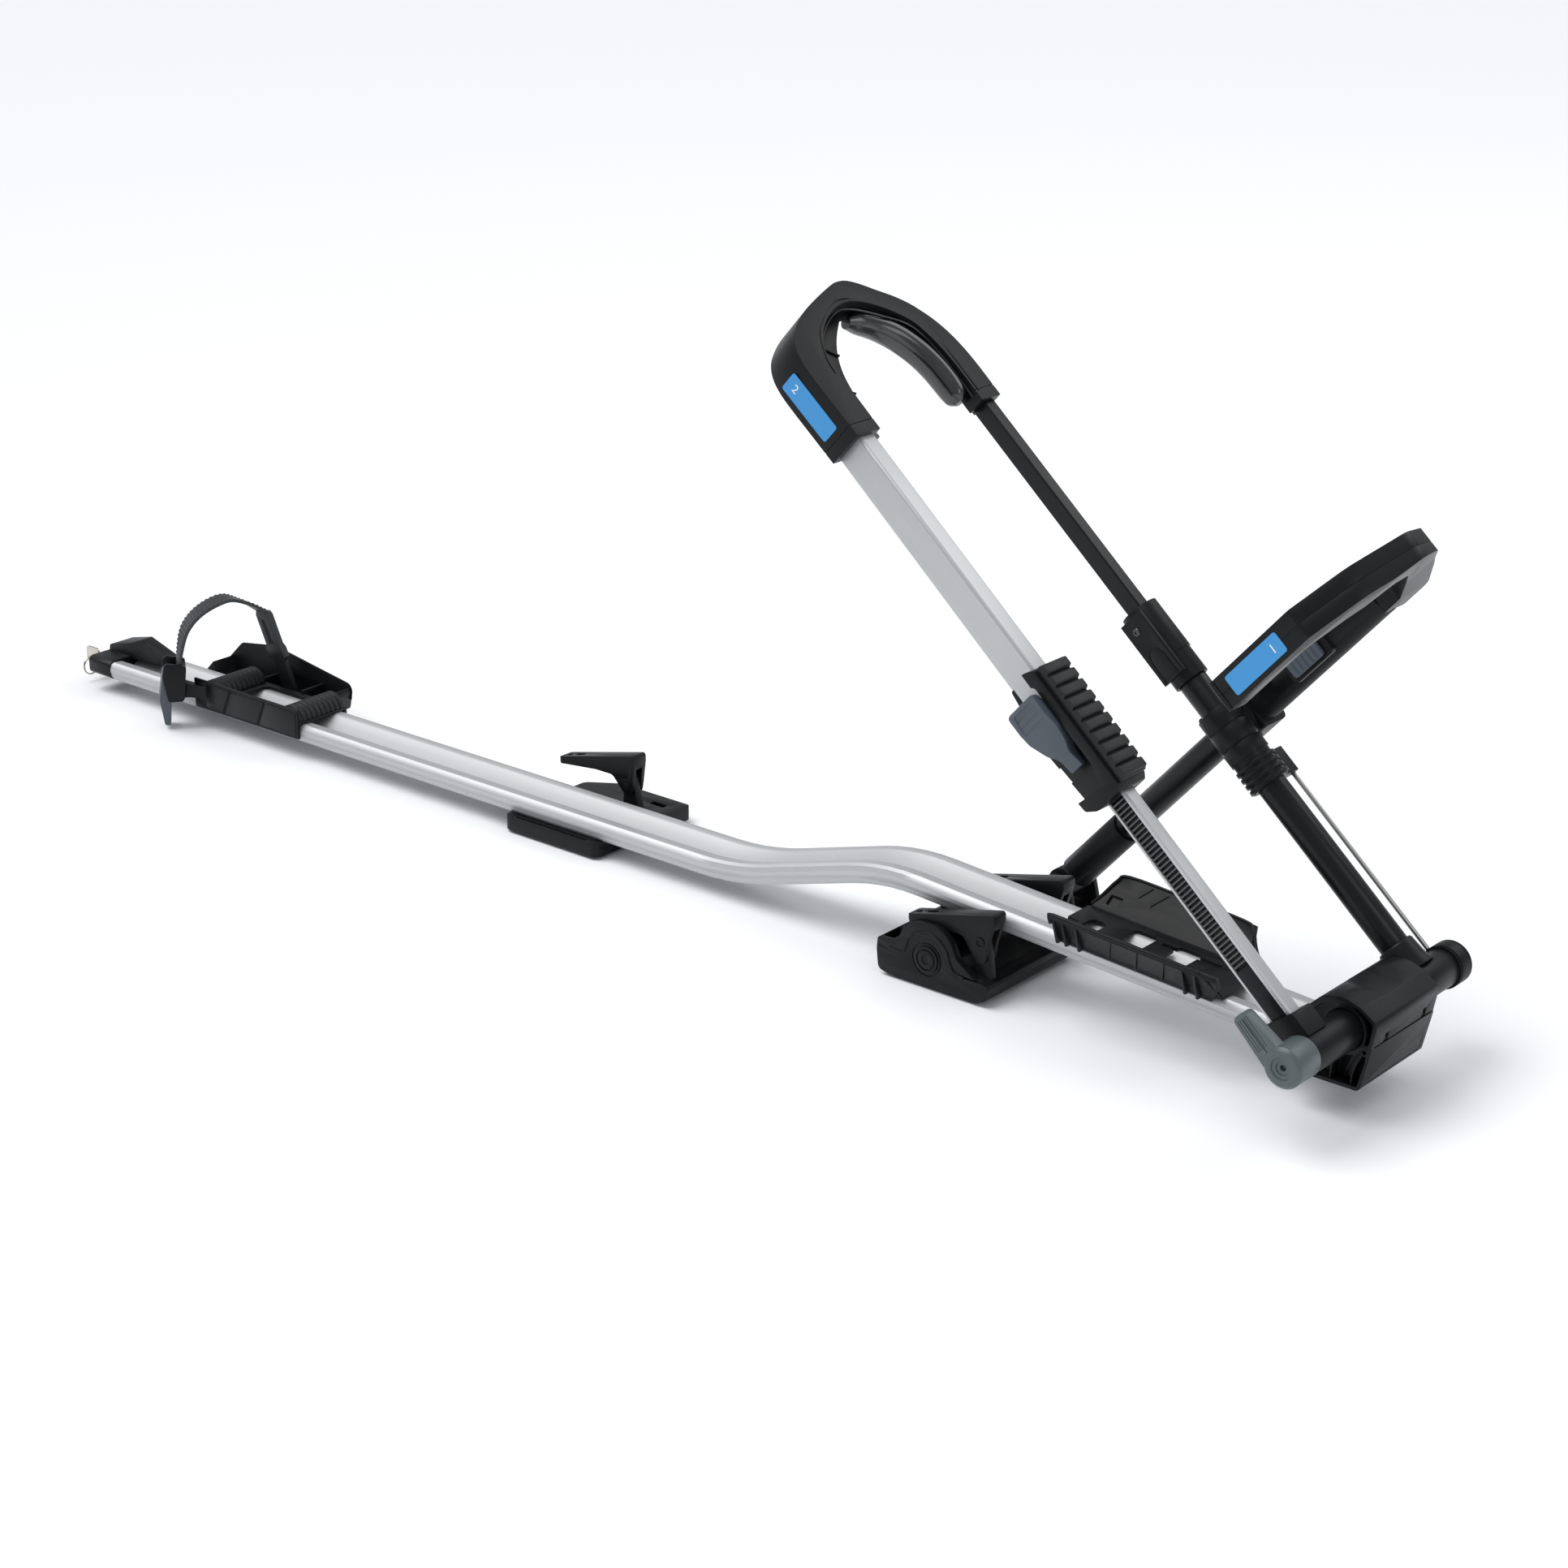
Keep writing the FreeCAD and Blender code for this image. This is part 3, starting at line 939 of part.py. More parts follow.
def polygon(points):
    """Closed outline through points, leaving out any that repeat."""
    kept = [p for i, p in enumerate(points) if (p - points[i - 1]).Length > 0.01]
    return [Part.LineSegment(kept[i - 1], kept[i]) for i in range(len(kept))]


def main():
    for make in (rail, railEndCap, lockSet, frontFoot, leverPins, rearFoot, frontTray, housing, nearHub,
                 ratchetProfile, ratchetStrip, farHub, farTube, linkSleeve, tubeCollar, outerArm,
                 slideRod, gripBody, gripRubber, releaseLever, hoopHead, hoopPad, knob, armBracket,
                 armSocket, armTube, crossCollar, hookHead, wheelHolder, holderParts, strapSet):
        make()
    for name, side in (("near_clamp_lever", "dims.leverNearY"), ("far_clamp_lever", "dims.leverFarY")):
        camLever(name, side, "dims.leverPinX", "dims.leverPinZ", (-78.2, 5), (14, 28), 19)
    camLever("rear_clamp_lever", "dims.rearLeverY", "dims.rearPinX", "dims.rearPinZ", (-90, 3), (10, 27), 14)
    doc.recompute()


main()

failed = [o.Name for o in doc.Objects if "Invalid" in o.State or "Error" in o.State]
if failed:
    raise RuntimeError(f"failed features: {failed}")
os.makedirs("parts", exist_ok=True)
for node in NODES:
    shape = node.Shape
    if shape.isNull() or not shape.isValid():
        raise RuntimeError(f"{node.Label} has no valid shape")
for node in NODES:
    node.Shape.exportStep(f"parts/{node.Label}.step")
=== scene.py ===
import json
import math
import bmesh
import bpy
from mathutils import Matrix, Vector

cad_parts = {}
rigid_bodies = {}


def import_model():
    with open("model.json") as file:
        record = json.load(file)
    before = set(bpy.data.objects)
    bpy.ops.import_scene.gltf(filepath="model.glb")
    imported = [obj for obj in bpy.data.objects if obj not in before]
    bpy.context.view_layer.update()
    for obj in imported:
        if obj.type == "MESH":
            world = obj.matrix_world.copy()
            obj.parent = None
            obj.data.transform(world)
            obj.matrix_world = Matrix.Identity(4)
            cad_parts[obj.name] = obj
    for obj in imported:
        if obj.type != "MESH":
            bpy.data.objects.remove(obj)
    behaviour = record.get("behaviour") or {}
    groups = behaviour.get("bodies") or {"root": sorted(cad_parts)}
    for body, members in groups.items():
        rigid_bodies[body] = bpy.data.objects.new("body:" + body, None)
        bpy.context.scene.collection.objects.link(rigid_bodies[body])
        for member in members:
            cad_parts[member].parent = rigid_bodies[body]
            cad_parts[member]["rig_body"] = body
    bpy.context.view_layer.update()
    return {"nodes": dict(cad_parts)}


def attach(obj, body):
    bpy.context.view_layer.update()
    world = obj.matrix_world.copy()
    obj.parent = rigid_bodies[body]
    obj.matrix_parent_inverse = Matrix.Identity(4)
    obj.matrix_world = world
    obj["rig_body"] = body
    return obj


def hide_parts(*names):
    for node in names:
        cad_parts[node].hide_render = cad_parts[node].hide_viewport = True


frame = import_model()
print("stage: frame loaded", len(frame["nodes"]), "nodes")


# One node socket; adding and multiplying put Math nodes in its tree.
class Wire:
    def __init__(self, tree, socket):
        self.tree = tree
        self.socket = socket

    def math(self, operation, other=0.0, swapped=False):
        node = self.tree.nodes.new("ShaderNodeMath")
        node.operation = operation
        first, second = (other, self) if swapped else (self, other)
        for slot, value in ((0, first), (1, second)):
            if isinstance(value, Wire):
                self.tree.links.new(value.socket, node.inputs[slot])
            else:
                node.inputs[slot].default_value = value
        return Wire(self.tree, node.outputs[0])

    def __add__(self, other): return self.math("ADD", other)
    def __radd__(self, other): return self.math("ADD", other, True)
    def __mul__(self, other): return self.math("MULTIPLY", other)
    def __rmul__(self, other): return self.math("MULTIPLY", other, True)


# A material and its node tree, with one method for any node.
class Finish:
    def __init__(self, name, colour, **settings):
        self.material = bpy.data.materials.new(name)
        self.material.use_nodes = True
        self.tree = self.material.node_tree
        self.shader = self.tree.nodes["Principled BSDF"]
        self.material.diffuse_color = (*colour, 1)
        self.put("Base Color", (*colour, 1))
        for socket, value in settings.items():
            self.put(socket.replace("_", " "), value)

    def put(self, socket, value):
        target = self.shader.inputs[socket]
        if isinstance(value, Wire):
            self.tree.links.new(value.socket, target)
        else:
            target.default_value = value

    def node(self, kind, settings=None, inputs=None, output=0):
        made = self.tree.nodes.new("ShaderNode" + kind)
        for key, value in (settings or {}).items():
            setattr(made, key, value)
        for key, value in (inputs or {}).items():
            if isinstance(value, Wire):
                self.tree.links.new(value.socket, made.inputs[key])
            else:
                made.inputs[key].default_value = value
        return Wire(self.tree, made.outputs[output])

    # Object coordinates, turned and then stretched.
    def place(self, stretch=(1, 1, 1), turn=(0, 0, 0)):
        spot = self.node("TexCoord", output=3)
        turned = self.node("Mapping", inputs={"Vector": spot, "Rotation": turn})
        return self.node("Mapping", inputs={"Vector": turned, "Scale": stretch})

    # Noise from 0 to 1 whose blobs are about this many metres wide.
    def noise(self, size, detail=2.0, stretch=(1, 1, 1), turn=(0, 0, 0)):
        return self.node("TexNoise", inputs={"Vector": self.place(stretch, turn), "Scale": 1 / size,
                                             "Detail": detail})

    # Base colour between low and high by the mask.
    def tint(self, mask, low, high):
        blend = self.node("Mix", {"data_type": "RGBA"},
                          {0: mask, 6: (*low, 1), 7: (*high, 1)}, output=2)
        self.put("Base Color", blend)

    def bump(self, height, depth, strength):
        self.put("Normal", self.node("Bump", inputs={"Height": height, "Distance": depth,
                                                     "Strength": strength}))


# Linear light of an sRGB value from 0 to 1.
def shade(value):
    return value / 12.92 if value <= 0.04045 else ((value + 0.055) / 1.055) ** 2.4


def srgb(red, green, blue):
    return tuple(shade(v / 255) for v in (red, green, blue))


# Finishes. Grain and mottle are the widths of the two patterns in metres.
mouldedBlack = {"colour": srgb(13, 14, 16), "light": srgb(20, 21, 23), "roughness": 0.38,
                "grain": 0.0007, "grainDepth": 0.00006, "mottle": 0.05, "gleam": 0.2}
tubeBlack = {"colour": srgb(10, 11, 13), "light": srgb(16, 17, 19), "roughness": 0.30,
             "grain": 0.0011, "grainDepth": 0.00004, "mottle": 0.03, "gleam": 0.26}
rubberBlack = {"colour": srgb(20, 21, 22), "light": srgb(30, 31, 32), "roughness": 0.50,
               "grain": 0.0006, "grainDepth": 0.00008, "mottle": 0.02, "gleam": 0.35}
leverGrey = {"colour": srgb(62, 70, 79), "light": srgb(76, 84, 94), "roughness": 0.38,
             "grain": 0.0006, "grainDepth": 0.00004, "mottle": 0.03}
knobGrey = {"colour": srgb(70, 80, 82), "light": srgb(82, 92, 94), "roughness": 0.36,
            "grain": 0.0006, "grainDepth": 0.00004, "mottle": 0.03}
labelBlue = {"colour": srgb(48, 140, 205), "light": srgb(58, 150, 214), "roughness": 0.32,
             "grain": 0.0008, "grainDepth": 0.00001, "mottle": 0.03}
inkWhite = {"colour": srgb(226, 232, 238), "light": srgb(236, 240, 244), "roughness": 0.4,
            "grain": 0.0008, "grainDepth": 0.00001, "mottle": 0.03}
strapBlack = {"colour": srgb(36, 38, 41), "light": srgb(48, 50, 53), "roughness": 0.44,
              "grain": 0.0005, "grainDepth": 0.00003, "mottle": 0.02}

# How far the two patterns of a moulded skin reach into its colour, gloss and bump.
skin = {"cloudTint": 0.7, "grainTint": 0.3, "glossDrop": 0.07, "cloudGloss": 0.1, "grainGloss": 0.05,
        "cloudDetail": 3.0, "grainDetail": 2.0, "bump": 0.6}


# Moulded or coated skin: fine grain, faint clouds in its colour and its gloss.
def mouldedFinish(name, values):
    made = Finish(name, values["colour"], Roughness=values["roughness"],
                  Specular_IOR_Level=values.get("gleam", 0.5))
    cloud = made.noise(values["mottle"], skin["cloudDetail"])
    grain = made.noise(values["grain"], skin["grainDetail"])
    made.tint(cloud * skin["cloudTint"] + grain * skin["grainTint"], values["colour"], values["light"])
    made.put("Roughness", values["roughness"] - skin["glossDrop"] + cloud * skin["cloudGloss"]
             + grain * skin["grainGloss"])
    made.bump(grain, values["grainDepth"], skin["bump"])
    return made.material


# Die lines and clouds of a drawn profile.
drawn = {"metallic": 0.7, "lineSize": 0.0012, "cloudSize": 0.06, "detail": 2.0, "share": 0.5,
         "glossDrop": 0.06, "lineGloss": 0.08, "cloudGloss": 0.04, "lineDepth": 0.00002, "bump": 0.5}


# Anodised extrusion with die lines along its length.
def aluminiumFinish(name, values, stretch, turn):
    made = Finish(name, values["colour"], Metallic=drawn["metallic"], Roughness=values["roughness"])
    lines = made.noise(drawn["lineSize"], drawn["detail"], stretch, turn)
    cloud = made.noise(drawn["cloudSize"], drawn["detail"], stretch, turn)
    made.tint(lines * drawn["share"] + cloud * drawn["share"], values["colour"], values["light"])
    made.put("Roughness", values["roughness"] - drawn["glossDrop"] + lines * drawn["lineGloss"]
             + cloud * drawn["cloudGloss"])
    made.bump(lines, drawn["lineDepth"], drawn["bump"])
    return made.material


plated = {"scuffSize": 0.002, "detail": 3.0, "dull": 0.85, "glossDrop": 0.05, "scuffGloss": 0.12,
          "depth": 0.00001, "bump": 0.5}


def metalFinish(name, values):
    colour, roughness = values["colour"], values["roughness"]
    made = Finish(name, colour, Metallic=1.0, Roughness=roughness)
    scuff = made.noise(plated["scuffSize"], plated["detail"])
    made.tint(scuff, tuple(v * plated["dull"] for v in colour), colour)
    made.put("Roughness", roughness - plated["glossDrop"] + scuff * plated["scuffGloss"])
    made.bump(scuff, plated["depth"], plated["bump"])
    return made.material


hoopLean, armLean, trayLean = 48.5, 41.7, 4.07
railSilver = {"colour": srgb(186, 187, 188), "light": srgb(206, 207, 208), "roughness": 0.52}
armSilver = {"colour": srgb(178, 179, 180), "light": srgb(200, 201, 202), "roughness": 0.42}
zincSteel = {"colour": srgb(178, 178, 176), "roughness": 0.34}
keySteel = {"colour": srgb(212, 206, 196), "roughness": 0.22}
glossBlack = dict(tubeBlack, roughness=0.2, gleam=0.95, grainDepth=0.000005)
finishes = {
    "rail": aluminiumFinish("railAluminium", railSilver, (0.01, 1, 1), (0, 0, 0)),
    "arm": aluminiumFinish("armAluminium", armSilver, (1, 1, 0.01), (0, math.radians(hoopLean), 0)),
    "plastic": mouldedFinish("mouldedBlack", mouldedBlack),
    "tube": mouldedFinish("tubeBlack", tubeBlack),
    "rubber": mouldedFinish("rubberBlack", rubberBlack),
    "gloss": mouldedFinish("glossBlack", glossBlack),
    "lever": mouldedFinish("leverGrey", leverGrey),
    "knob": mouldedFinish("knobGrey", knobGrey),
    "strap": mouldedFinish("strapBlack", strapBlack),
    "label": mouldedFinish("labelBlue", labelBlue),
    "ink": mouldedFinish("inkWhite", inkWhite),
    "steel": metalFinish("zincSteel", zincSteel),
    "chrome": metalFinish("keySteel", keySteel),
}
print("stage: finishes", len(finishes))


# Limits for merging, smoothing and rounding corners.
mergeGap, flatAngle, sharpAngle = 2e-6, math.radians(0.4), math.radians(32)
cornerShare, arcStep, poleGap = 0.48, 0.2, 0.0005


# Merge loose triangles into flat faces.
def clearFaces(mesh):
    made = bmesh.new()
    made.from_mesh(mesh)
    bmesh.ops.remove_doubles(made, verts=made.verts, dist=mergeGap)
    bmesh.ops.dissolve_limit(made, angle_limit=flatAngle, use_dissolve_boundaries=False,
                             verts=made.verts, edges=made.edges, delimit={"NORMAL"})
    made.to_mesh(mesh)
    made.free()


# The piece with its modifiers worked in.
def settled(piece):
    bpy.context.view_layer.update()
    graph = bpy.context.evaluated_depsgraph_get()
    mesh = bpy.data.meshes.new_from_object(piece.evaluated_get(graph), depsgraph=graph)
    piece.modifiers.clear()
    old = piece.data
    piece.data = mesh
    bpy.data.meshes.remove(old)
    return piece


# A group's frame, in millimetres and degrees.
def frameAt(base, tilt=0.0, turn=0.0):
    return (Matrix.Translation(Vector(base) / 1000) @ Matrix.Rotation(math.radians(tilt), 4, "Y")
            @ Matrix.Rotation(math.radians(turn), 4, "Z") @ Matrix.Scale(0.001, 4))


axlePlace = (388, 0, 77.9)
spots = {
    "flat": frameAt((0, 0, 0)),
    "axle": frameAt(axlePlace),
    "hoop": frameAt(axlePlace, -hoopLean),
    "arm": frameAt((16, 0, 51), armLean),
    "tray": frameAt((188, 0, 46.73), trayLean),
    "holder": frameAt((-900, 0, 17)),
    "strap": frameAt((-958, 0, 17), 0, -38),
}
planes = {"XY": lambda a, b, h: (a, b, h), "YZ": lambda a, b, h: (h, a, b), "XZ": lambda a, b, h: (a, h, b)}


# Outline points with an arc of radius r at each corner given as (a, b, r).
def cornered(points):
    made = []
    for i, (a, b, *bend) in enumerate(points):
        here = Vector((a, b))
        if not bend:
            made.append(here)
            continue
        before = Vector(points[i - 1][:2]) - here
        after = Vector(points[(i + 1) % len(points)][:2]) - here
        angle = before.angle(after) / 2
        reach = min(bend[0] / math.tan(angle), before.length * cornerShare, after.length * cornerShare)
        radius = reach * math.tan(angle)
        centre = here + (before.normalized() + after.normalized()).normalized() * radius / math.sin(angle)
        start = here + before.normalized() * reach - centre
        finish = here + after.normalized() * reach - centre
        sweepAngle = start.angle_signed(finish)
        steps = max(2, int(abs(sweepAngle) / arcStep))
        for k in range(steps + 1):
            turn = -sweepAngle * k / steps
            made.append(centre + Vector((start.x * math.cos(turn) - start.y * math.sin(turn),
                                         start.x * math.sin(turn) + start.y * math.cos(turn))))
    return made


# Outline pushed along the third axis of its plane, leaning if asked.
def slab(values):
    made = bmesh.new()
    spot = planes[values["plane"]]
    low, high = values["span"]
    lean, base = values.get("lean", (0.0, 0.0))
    ring = cornered(values["outline"])
    ends = [[made.verts.new(spot(a, b, h + lean * (b - base))) for a, b in ring] for h in (low, high)]
    for i in range(len(ring)):
        k = (i + 1) % len(ring)
        made.faces.new((ends[0][i], ends[0][k], ends[1][k], ends[1][i]))
    for end in ends:
        made.faces.new(end)
    return made


# Closed profile of (along, radius) points turned about an axis through centre.
def lathe(values):
    made = bmesh.new()
    axis, steps = values["axis"], values.get("steps", 48)
    centre = Vector(values["centre"])
    rings = []
    for along, radius in values["profile"]:
        ring = []
        for k in range(steps):
            turn = 2 * math.pi * k / steps
            u, v = radius * math.cos(turn), radius * math.sin(turn)
            spot = {"X": (along, u, v), "Y": (u, along, v), "Z": (u, v, along)}[axis]
            ring.append(made.verts.new(centre + Vector(spot)))
        rings.append(ring)
    for low, high in zip(rings, rings[1:] + rings[:1]):
        for k in range(steps):
            j = (k + 1) % steps
            made.faces.new((low[k], low[j], high[j], high[k]))
    bmesh.ops.remove_doubles(made, verts=made.verts, dist=poleGap)
    return made


# Curve through the points, with this many steps between each two.
def smoothed(points, steps):
    path = [Vector(p) for p in points]
    ends = [path[0] * 2 - path[1], *path, path[-1] * 2 - path[-2]]
    made = []
    for a, b, c, d in zip(ends, ends[1:], ends[2:], ends[3:]):
        for k in range(steps):
            t = k / steps
            made.append(0.5 * (2 * b + (c - a) * t + (2 * a - 5 * b + 4 * c - d) * t ** 2
                               + (3 * b - a - 3 * c + d) * t ** 3))
    return made + [path[-1]]


# Section of half sizes (across, deep) carried along a path, wider or thinner by the scales.
def sweep(values):
    made = bmesh.new()
    steps = values.get("steps", 6)
    path = smoothed(values["path"], steps) if steps > 1 else [Vector(p) for p in values["path"]]
    across, deep = values["half"]
    sides = values.get("sides", 16)
    ups = smoothed(values["ups"], steps) if "ups" in values else [Vector(values["up"])] * len(path)
    scales = values.get("scales")
    sizes = smoothed([(s, 0, 0) for s in scales], steps) if scales else None
    corner = math.pi / 4 if sides == 4 else 0.0
    swell = math.sqrt(2) if sides == 4 else 1.0
    rings = []
    for i, spot in enumerate(path):
        ahead = (path[min(i + 1, len(path) - 1)] - path[max(i - 1, 0)]).normalized()
        side = ahead.cross(ups[i]).normalized()
        top = side.cross(ahead)
        scale = swell * (sizes[i].x if sizes else 1.0)
        tooth = values.get("tooth", 0.0) * (i % 2)
        rings.append([])
        for k in range(sides):
            turn = corner + 2 * math.pi * k / sides
            reach = across * scale * math.cos(turn) + (tooth if math.cos(turn) > 0 else 0)
            rings[-1].append(made.verts.new(spot + side * reach + top * deep * scale * math.sin(turn)))
    for low, high in zip(rings, rings[1:]):
        for k in range(sides):
            j = (k + 1) % sides
            made.faces.new((low[k], low[j], high[j], high[k]))
    made.faces.new(rings[0])
    made.faces.new(rings[-1])
    return made


# A plain figure of this height, laid on its plane.
def digit(values):
    face = bpy.data.curves.new("figure", "FONT")
    face.body = values["figure"]
    face.size = values["height"]
    face.extrude = 0.1
    face.align_x = face.align_y = "CENTER"
    shown = bpy.data.objects.new("figure", face)
    bpy.context.scene.collection.objects.link(shown)
    bpy.context.view_layer.update()
    mesh = bpy.data.meshes.new_from_object(shown)
    bpy.data.objects.remove(shown)
    bpy.data.curves.remove(face)
    made = bmesh.new()
    made.from_mesh(mesh)
    bpy.data.meshes.remove(mesh)
    turn = Matrix.Rotation(math.radians(values["turn"]), 4, "Z")
    stand = Matrix(((1, 0, 0, 0), (0, 0, -1, 0), (0, 1, 0, 0), (0, 0, 0, 1)))
    made.transform(Matrix.Translation(values["centre"]) @ stand @ turn)
    return made


makers = {"slab": slab, "lathe": lathe, "sweep": sweep, "digit": digit}


# Node group that repeats a piece along a step and paints it.
def rowTree():
    tree = bpy.data.node_groups.new("pieceRow", "GeometryNodeTree")
    for name, way, kind in (("Piece", "INPUT", "Geometry"), ("Count", "INPUT", "Int"),
                            ("Step", "INPUT", "Vector"), ("Finish", "INPUT", "Material"),
                            ("Row", "OUTPUT", "Geometry")):
        tree.interface.new_socket(name, in_out=way, socket_type="NodeSocket" + kind)
    start, line, place, real, paint, end = [tree.nodes.new(kind) for kind in (
        "NodeGroupInput", "GeometryNodeMeshLine", "GeometryNodeInstanceOnPoints",
        "GeometryNodeRealizeInstances", "GeometryNodeSetMaterial", "NodeGroupOutput")]
    line.mode = "OFFSET"
    for source, target in ((start.outputs["Count"], line.inputs["Count"]),
                           (start.outputs["Step"], line.inputs["Offset"]),
                           (line.outputs["Mesh"], place.inputs["Points"]),
                           (start.outputs["Piece"], place.inputs["Instance"]),
                           (place.outputs["Instances"], real.inputs["Geometry"]),
                           (real.outputs["Geometry"], paint.inputs["Geometry"]),
                           (start.outputs["Finish"], paint.inputs["Material"]),
                           (paint.outputs["Geometry"], end.inputs["Row"])):
        tree.links.new(source, target)
    return tree


pieceRow = rowTree()


# Object with the piece's mesh, in the world's metres.
def shaped(name, values):
    made = makers[values["kind"]](values)
    bmesh.ops.recalc_face_normals(made, faces=made.faces)
    mesh = bpy.data.meshes.new(name)
    made.to_mesh(mesh)
    made.free()
    piece = bpy.data.objects.new(name, mesh)
    bpy.context.scene.collection.objects.link(piece)
    if "row" in values:
        count, step = values["row"]
        row = piece.modifiers.new("row", "NODES")
        row.node_group = pieceRow
        settings = {"Count": count, "Step": step, "Finish": finishes[values.get("finish", "plastic")]}
        for item in pieceRow.interface.items_tree:
            if item.name in settings:
                row[item.identifier] = settings[item.name]
        settled(piece)
    piece.data.transform(spots[values["spot"]])
    return piece


# The piece with each tool cut out of it, or joined to it.
def carved(piece, tools):
    cutters = []
    for number, values in enumerate(tools):
        cutter = shaped(f"{piece.name}Tool{number}", values)
        cutters.append(cutter)
        cut = piece.modifiers.new("cut", "BOOLEAN")
        cut.operation = values.get("work", "DIFFERENCE")
        cut.object = cutter
        cut.solver = "EXACT"
    settled(piece)
    for cutter in cutters:
        mesh = cutter.data
        bpy.data.objects.remove(cutter)
        bpy.data.meshes.remove(mesh)


# Small rounds on the sharp edges, smooth faces between them, and the finish.
def finished(piece, finish, width, segments=2):
    if width:
        bevel = piece.modifiers.new("rounds", "BEVEL")
        bevel.width = width / 1000
        bevel.segments = segments
        bevel.limit_method = "ANGLE"
        bevel.angle_limit = sharpAngle
        bevel.use_clamp_overlap = True
        settled(piece)
    mesh = piece.data
    for face in mesh.polygons:
        face.use_smooth = True
    mesh.set_sharp_from_angle(angle=sharpAngle)
    mesh.materials.clear()
    mesh.materials.append(finishes[finish])


# A piece of its own that rides with a CAD node, or stands for it.
def detail(name, values):
    piece = shaped(name, values)
    if "carve" in values:
        carved(piece, values["carve"])
    finished(piece, values["finish"], values.get("round", 0.5), values.get("segments", 2))
    if "after" in values:
        carved(piece, values["after"])
        finished(piece, values["finish"], 0)
    node = values["with"]
    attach(piece, frame["nodes"][node]["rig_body"])
    if values.get("standsFor"):
        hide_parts(node)
    if values["finish"] not in ("label", "ink"):
        values["slot"] if "slot" in values else easing[node][1]
    return piece


# Narrow groove or ridge along a path.
def line(path, half=0.4, up=(0, 1, 0), steps=1, **more):
    return dict(kind="sweep", path=path, half=(half, half), sides=4, up=up, steps=steps, **more)


# Slab with this outline.
def strip(plane, outline, span, **more):
    return dict(kind="slab", plane=plane, outline=outline, span=span, **more)


# Flat outline points of a smooth line through these.
def curve(points, steps=4):
    return [tuple(p)[:2] for p in smoothed([(a, b, 0) for a, b in points], steps)]


# Ring of square section about an axis.
def ringCut(axis, centre, low, high, inner, outer, **more):
    return dict(kind="lathe", axis=axis, centre=centre,
                profile=[(low, inner), (high, inner), (high, outer), (low, outer)], **more)


# Corners of a six-sided opening of this radius.
def hexagon(a, b, radius):
    turns = [math.radians(step) for step in range(0, 360, 60)]
    return [(a + radius * math.cos(turn), b + radius * math.sin(turn)) for turn in turns]


# The tools, placed in one group's frame.
def within(spot, *tools):
    return [dict(tool, spot=spot) for tool in tools]


hookEdge = [(9, y, z) for y, z in cornered([(-82, 392), (-82, 484, 8), (-48, 524, 40), (10, 548, 20),
                                            (40, 542, 16), (84, 506, 30), (134, 460)])]
leverDepth = (-130, -100)


# Mark and thumb hollow on top of a clamp lever whose corner is here.
def leverMarks(x, y, span):
    return within(
        "flat",
        strip("XY", [(x, y, 1.2), (x + 7.5, y, 1.2), (x + 5, y + 7, 1.2)], span),
        strip("XY", [(x + 12, y + 0.9, 2.4), (x + 23, y + 0.9, 2.4), (x + 23, y + 6.1, 2.4),
                     (x + 12, y + 6.1, 2.4)], span))


def rollerGrooves(x):
    return within("holder", ringCut("Y", (x, 0, 20.4), -26.5, -25, 14.7, 18, row=(9, (0, 6.3, 0))))


